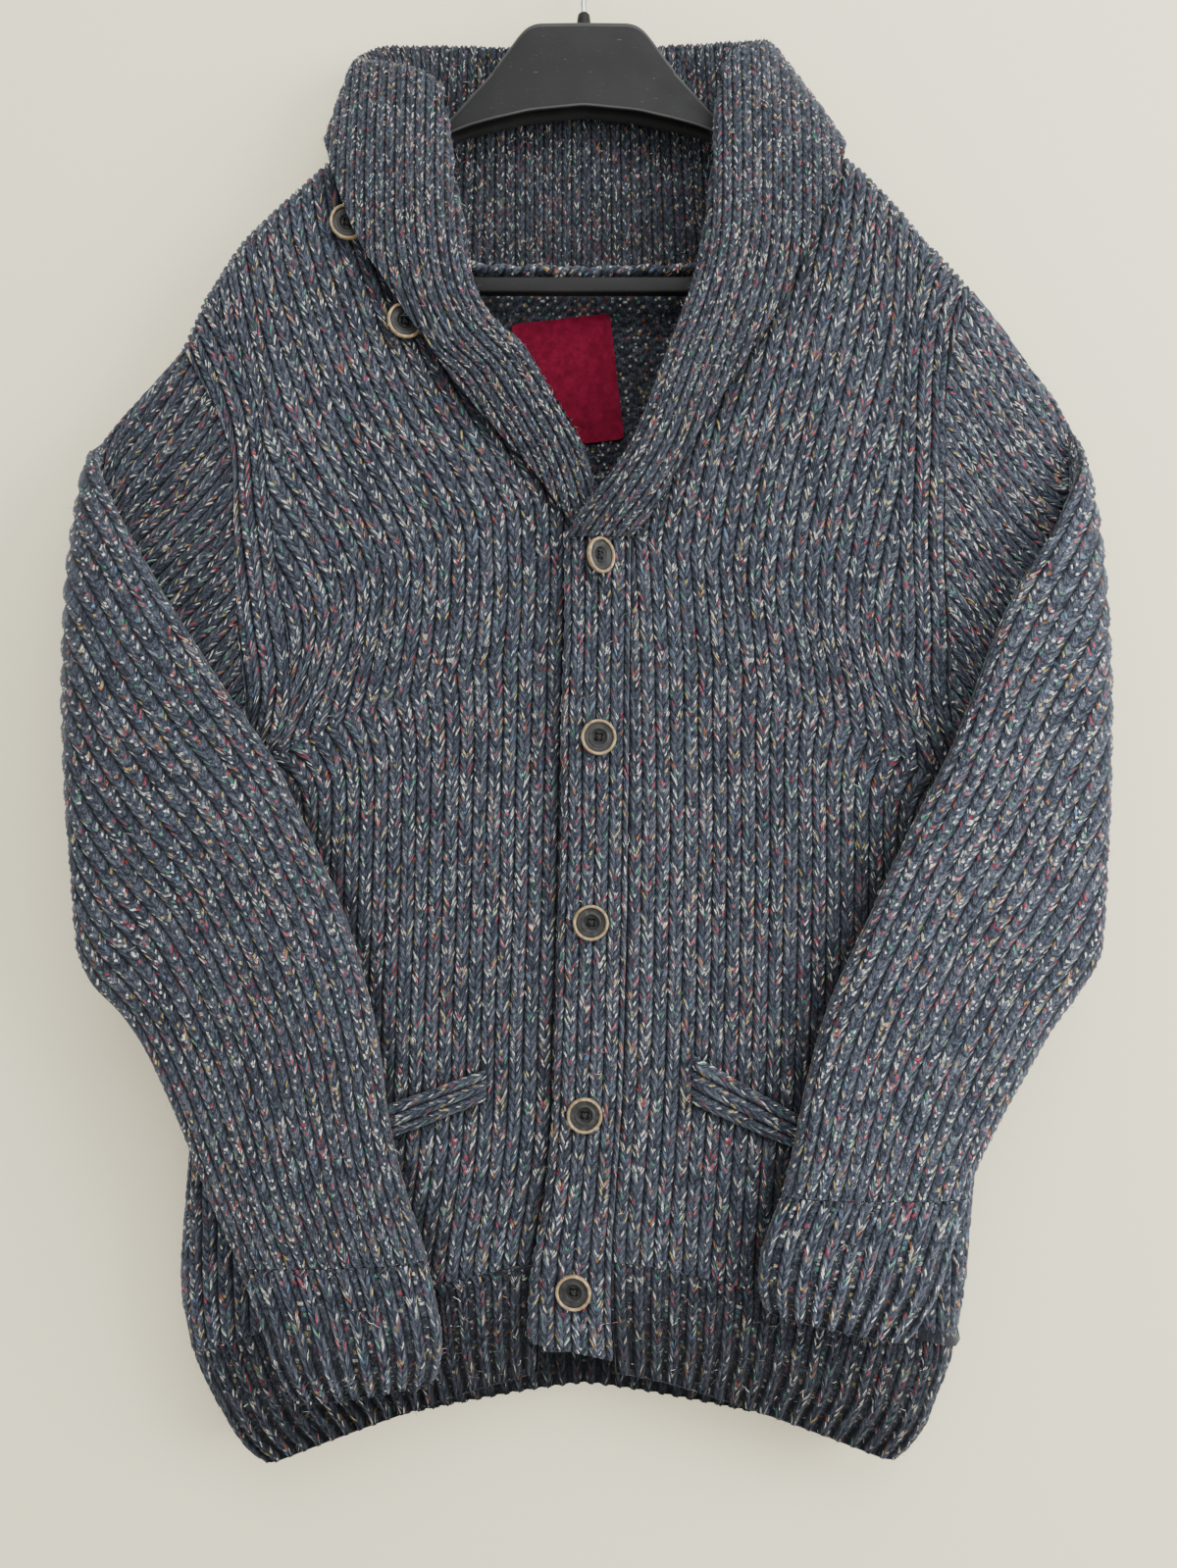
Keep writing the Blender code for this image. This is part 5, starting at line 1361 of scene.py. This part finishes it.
def button(name, x, z, yaw, seat, node):
    """Dished four-hole button with a pale rim, and the thread through its holes."""
    sides, face_rings = 60, 39
    radii = np.concatenate([np.linspace(0, 4.4, 17), np.linspace(4.7, 10.0, 22), [9.9, 9.6, 8.6, 3.0]])
    heights = np.interp(radii, BUTTON_PROFILE["r"], BUTTON_PROFILE["y"])
    heights[face_rings:] = (1.6, 0.9, 0.4, 0.1)
    angle = np.linspace(0, 2 * math.pi, sides, endpoint=False)
    px, pz = radii[:, None] * np.cos(angle)[None], radii[:, None] * np.sin(angle)[None]
    py = np.broadcast_to(heights[:, None], px.shape).copy()
    hole_at = np.radians((40, 130, 220, 310))
    holes = 1.75 * np.stack([np.cos(hole_at), np.sin(hole_at)], axis=1)
    for hx, hz in holes:
        away = np.hypot(px - hx, pz - hz)[:face_rings]
        py[:face_rings] -= 1.7 * (1 - np.clip((away - 0.75) / 0.35, 0, 1))
    verts = np.stack([px, -py, pz], axis=-1).reshape(-1, 3)
    faces, slots = tube_faces(len(radii), sides), []
    for r, radius in enumerate(radii[:-1]):
        face = r < face_rings
        slots += [1 if face and radius > 8.2 else 3 if face and 4.6 < radius < 7.9 else 0] * sides
    t = np.linspace(0, 1, 9)
    for k in (0, 1):
        start, stop = holes[k], holes[k + 2]
        way = unit(stop - start)
        lift = 1.4 + 1.05 * np.sin(math.pi * t) ** 0.5 + 0.35 * k
        for offset in (-0.28, 0.28):
            at = start + (stop - start) * t[:, None] + offset * np.array([-way[1], way[0]])
            ring = tube_along(np.stack([at[:, 0], -lift, at[:, 1]], axis=1), 0.3, 7)[:, :6]
            strand = tube_faces(len(t), 6, len(verts))
            verts = np.concatenate([verts, ring.reshape(-1, 3)])
            faces += strand
            slots += [2] * len(strand)
    c, s = math.cos(math.radians(yaw)), math.sin(math.radians(yaw))
    verts = verts @ np.array([(c, s, 0), (-s, c, 0), (0, 0, 1)])
    verts = verts + np.array([x, seat - GAP - verts[:, 1].max(), z])
    piece = plain(name, verts, faces, [HORN, RIM, THREAD, HORN_RING], slots)
    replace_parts(piece, node)


def plain(name, verts, faces, materials, slots=None):
    mesh = bpy.data.meshes.new(name)
    mesh.from_pydata((np.asarray(verts) * MM).tolist(), [], faces)
    shape = bmesh.new()
    shape.from_mesh(mesh)
    bmesh.ops.recalc_face_normals(shape, faces=shape.faces)
    shape.to_mesh(mesh)
    shape.free()
    for material in materials:
        mesh.materials.append(material)
    if slots is not None:
        mesh.polygons.foreach_set("material_index", np.array(slots, np.int32))
    mesh.shade_smooth()
    found = linked(name, mesh)
    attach(found, "root")
    return found


HANGER = table(
    "x top bottom thick",
    (0, -55, -101.8, 14), (27, -55.4, -104.4, 14), (33, -58, -105.3, 14), (37, -62.5, -106.3, 14),
    (53, -84, -110, 14), (65, -96.5, -113, 13.5), (76, -108, -117, 13), (100, -122, -132, 12),
    (140, -145.5, -157, 12), (172, -164.5, -175, 12), (180, -170.5, -178, 9),
)
HANGER_Y = -1.0
FACET_X = 51.0
BAR_Z, BAR_END, BAR_BEND, BAR_RISE = -201.5, 152.0, 14.0, -166.5
HOOK_ROUND, ROD = 20.6, 1.6


def hanger():
    """Neck plate and arms: bevelled top, flat middle, side facets turned a little, and a thin raised lower
    lip; and the collar that the hook stands in."""
    half = np.unique(np.concatenate([np.linspace(0, 180, 130), [FACET_X]]))
    xs = np.concatenate([-half[:0:-1], half])
    at = np.abs(xs)
    top, bottom, thick = (smoothed(np.interp(at, HANGER["x"], HANGER[name]), 3)
                          for name in ("top", "bottom", "thick"))
    top = top + 1.5 * np.clip(1 - (at - 36.0) / 60.0, 0, 1)
    facet = 1.0 * np.clip((at - FACET_X) / 30.0, 0, 1)
    rings = []
    for x, high, low, deep, turned in zip(xs, top, bottom, thick, facet):
        reach = deep / 2
        bevel = min(1.6, (high - low) * 0.2)
        front = -reach + turned
        profile = [
            (front + 2.2, high), (front + 0.9, high - 0.25 * bevel), (front + 0.25, high - 0.8 * bevel),
            (front, high - 1.8 * bevel), (front, (high + low) / 2), (front, low + 2.4),
            (front - 0.25, low + 1.7), (front - 0.55, low + 1.1), (front - 0.5, low + 0.4), (front, low),
            (front + 1.0, low),
            (front + 1.3, low + 2.5), (reach - 1.3, low + 2.5), (reach - 1.0, low), (reach, low + 0.5),
            (reach, high - bevel), (reach - 2.2, high),
        ]
        rings.append([(x, HANGER_Y + y, z) for y, z in profile])
    count, sides = len(rings), len(rings[0])
    # painted highlight: the front bevel at the top and the lower lip take the lighter plastic
    slots = [1 if c in (1, 2, 6, 7) else 0 for c in range(sides)] * (count - 1) + [0, 0]
    piece = plain("hanger_neck_plate_and_arms", np.array(rings).reshape(-1, 3),
                  tube_faces(count, sides) + end_faces(count, sides), [PLASTIC, PLASTIC_PAINTED_HIGHLIGHT], slots)
    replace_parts(piece, "hanger_body")
    profile = [(3.6, -55.0), (3.8, -52.6), (3.9, -49.0), (3.5, -46.2), (2.6, -45.2), (1.8, -44.9)]
    radii, z = np.array(profile).T
    angle = np.linspace(0, 2 * math.pi, 25)[:-1]
    x, y = radii[:, None] * np.cos(angle), HANGER_Y + radii[:, None] * np.sin(angle)
    ring = np.stack([x, y, np.broadcast_to(z[:, None], x.shape)], axis=-1)
    plain("hanger_hook_collar", ring.reshape(-1, 3), tube_faces(*x.shape), [PLASTIC])


def strip(name, node, path, section, material):
    """A section of y and sideways offsets carried along a path of XZ points."""
    along = unit(np.gradient(path, axis=0))
    sideways = np.stack([-along[:, 1], along[:, 0]], axis=1)
    flat = path[:, None] + sideways[:, None] * section[None, :, 1:]
    y = np.broadcast_to(HANGER_Y + section[None, :, 0], flat.shape[:2])
    verts = np.stack([flat[..., 0], y, flat[..., 1]], axis=-1)
    faces = tube_faces(*y.shape) + end_faces(*y.shape)
    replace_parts(plain(name, verts.reshape(-1, 3), faces, [material]), node)


def hanger_bar():
    """Lower bar with a flat face, bent up to the arms at both ends."""
    angle = np.linspace(0, math.pi / 2, 12)
    bend_x, bend_z = BAR_END - BAR_BEND * (1 - np.sin(angle)), BAR_Z + BAR_BEND * (1 - np.cos(angle))
    half = np.vstack([np.stack([bend_x, bend_z], axis=1), [(BAR_END, BAR_RISE)]])
    path = np.vstack([half[::-1] * (-1, 1), half])
    corner = np.radians(np.arange(0, 91, 22.5))
    quarter = np.stack([2.3 + 1.2 * np.cos(corner), 3.2 + 1.2 * np.sin(corner)], axis=1)
    section = np.vstack([quarter, quarter[::-1] * (-1, 1), -quarter, quarter[::-1] * (1, -1)])
    strip("hanger_bar_moulded", "hanger_bar", path, section, PLASTIC)


def hanger_hook():
    """Steel rod up from the neck plate and round the hook."""
    turn = np.radians(np.linspace(-26, 205, 60))
    top = np.stack([HOOK_ROUND * np.cos(turn), -19.0 + HOOK_ROUND * np.sin(turn)], axis=1)
    shank = smooth(np.arange(6.0), [(0, -52.0), (0, -44.0), (0, -37.5), (3.0, -33.4), (10.0, -32.0), top[0]],
                   np.linspace(0, 5, 36))
    around = np.radians(np.arange(0, 360, 20))
    section = ROD * np.stack([np.cos(around), np.sin(around)], axis=1)
    strip("hanger_hook_wire", "hanger_hook", np.vstack([shank[:-1], top]), section, STEEL)


# Loose fibres

HAIR_LENGTH, HAIR_TONES = (2.0, 6.0), (0.35, 1.9)
FIBRES = (
    ("body", 5000, 3, {"front_right": 0.25, "front_left": 0.25, "hem_front_right": 0.25,
                       "hem_front_left": 0.25}),
    ("sleeves", 6500, 5, {"sleeve_right": 0.25, "sleeve_left": 0.25, "cuff_right": 0.25, "cuff_left": 0.25}),
    ("collar", 6500, 7, {"collar": 0.8, "band_buttonholes": 0.15, "neck_seam": 0.05}),
)


def fuzz(name, pieces, count, seed):
    """Short curved hairs standing off the knit, as thin strips."""
    luck = np.random.default_rng(seed)
    verts, faces, uvs, shades = [], [], [], []
    total = 0
    for piece, share in pieces:
        mesh = piece.data
        points, n = (np.empty(len(mesh.vertices) * 3, np.float32) for _ in range(2))
        mesh.vertices.foreach_get("co", points)
        mesh.vertices.foreach_get("normal", n)
        points, n = points.reshape(-1, 3) / MM, n.reshape(-1, 3)
        pick = luck.integers(0, len(points), int(count * share))
        start, out = points[pick], n[pick]
        spread = luck.normal(size=start.shape)
        side_way = unit(spread - (spread * out).sum(1, keepdims=True) * out)
        curl = np.cross(out, side_way)
        rows = len(start)
        long, lift, bend, wide = (luck.uniform(*span, rows)[:, None]
                                  for span in (HAIR_LENGTH, (0.15, 0.75), (-0.6, 0.6), (0.05, 0.11)))
        tone = luck.uniform(*HAIR_TONES, rows)
        for t in (0.0, 0.5, 1.0):
            p = start + long * (t * side_way + bend * t * t * curl + lift * math.sin(t * 2.4) * 0.55 * out)
            width = wide * (1 - 0.7 * t)
            verts += [p - curl * width, p + curl * width]
            shades += [tone, tone]
            uvs += [np.stack([pick * 0.37 + t * 0.1, pick * 0.11], axis=1)] * 2
        for k in (0, 1):
            corners = [total + (2 * k + corner) * rows + np.arange(rows) for corner in (0, 1, 3, 2)]
            faces.append(np.stack(corners, axis=1))
        total += 6 * rows
    return yarn(name, *(np.concatenate(rows) for rows in (verts, faces, uvs, shades)), RIBBED)


# Stage, light, camera

WALL_Y, FLOOR_Z = 0.030, -1.35


def plane(name, corners, material):
    mesh = bpy.data.meshes.new(name)
    mesh.from_pydata(corners, [], [(0, 1, 2, 3)])
    mesh.materials.append(material)
    found = linked(name, mesh)
    return found


def stage():
    """Pale wall, clear from behind, and floor. The wall keeps no light from the back of the garment."""
    net = Net("stage_wall")
    grain = net.noise(net.place(), 700.0, 3.0, 0.7)
    net.finish(net.ramp(grain, (0.3, (0.95, 0.87, 0.61)), (0.7, (0.99, 0.91, 0.65))), 0.9, specular=0.1)
    behind = net.value("NewGeometry", out="Backfacing")
    painted, clear = Value(net, net.shader.outputs[0]), net.value("BsdfTransparent")
    mixed = net.value("MixShader", (behind, painted, clear))
    net.link(mixed, net.tree.nodes["Material Output"].inputs["Surface"])
    corners = [(-1.6, WALL_Y, FLOOR_Z), (1.6, WALL_Y, FLOOR_Z), (1.6, WALL_Y, 0.9), (-1.6, WALL_Y, 0.9)]
    wall = plane("stage_wall", corners, net.material)
    wall.visible_diffuse = wall.visible_shadow = False
    floor = Net("stage_floor").finish((0.62, 0.60, 0.57, 1.0), 0.9, specular=0.1)
    plane("stage_floor", [(-3, -3, FLOOR_Z), (3, -3, FLOOR_Z), (3, 3, FLOOR_Z), (-3, 3, FLOOR_Z)], floor)


def lamp(name, place_at, aim, size, power):
    light = bpy.data.lights.new(name, "AREA")
    light.shape = "RECTANGLE"
    light.size, light.size_y = size
    light.energy = power
    found = linked(name, light)
    found.location = place_at
    found.rotation_euler = (Vector(aim) - Vector(place_at)).to_track_quat("-Z", "Y").to_euler()


def lights():
    lamp("key", (0.45, -1.4, 1.0), (0.05, 0, -0.45), (1.7, 1.1), 32)
    lamp("side", (1.7, -1.1, -0.2), (0, 0, -0.45), (1.0, 1.4), 44)
    world = bpy.data.worlds.new("world")
    bpy.context.scene.world = world
    world.use_nodes = True
    world.node_tree.nodes["Background"].inputs[0].default_value = (0.96, 0.98, 1.0, 1.0)
    world.node_tree.nodes["Background"].inputs[1].default_value = 1.12


def camera():
    data = bpy.data.cameras.new("camera")
    data.lens = 36.0 * 1201.0 / 1599.0
    data.sensor_width = 36.0
    data.sensor_fit = "AUTO"
    data.clip_start = 0.01
    found = linked("camera", data)
    found.location = (2.7 * MM, -677 * MM, -487 * MM)
    found.rotation_euler = (math.pi / 2, 0, 0)
    bpy.context.scene.camera = found


def build():
    camera()
    lights()
    stage()
    pieces = [back(), hem_back(), collar(), neck_seam(), *bands()]
    for side in (RIGHT, LEFT):
        pieces += [front(side), hem_front(side), sleeve(side), cuff(side), welt(side)]
    by_name = {piece.name: piece for piece in pieces}
    for name, count, seed, found in FIBRES:
        haired = [(by_name[f"knit_{node}"], share) for node, share in found.items()]
        fuzz(f"loose_fibres_{name}", haired, count, seed)
    for kind, rows, seat in (("front", FRONT_BUTTONS, BAND_FRONT), ("collar", COLLAR_BUTTONS, -DEPTH)):
        for i, (x, z, yaw) in enumerate(zip(rows["x"], rows["z"], rows["yaw"]), 1):
            button(f"horn_button_{kind}_{i}", x, z, yaw, seat, f"button_{kind}_{i}")
    hanger()
    hanger_bar()
    hanger_hook()
    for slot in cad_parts["label"].material_slots:
        slot.material = LABEL


build()
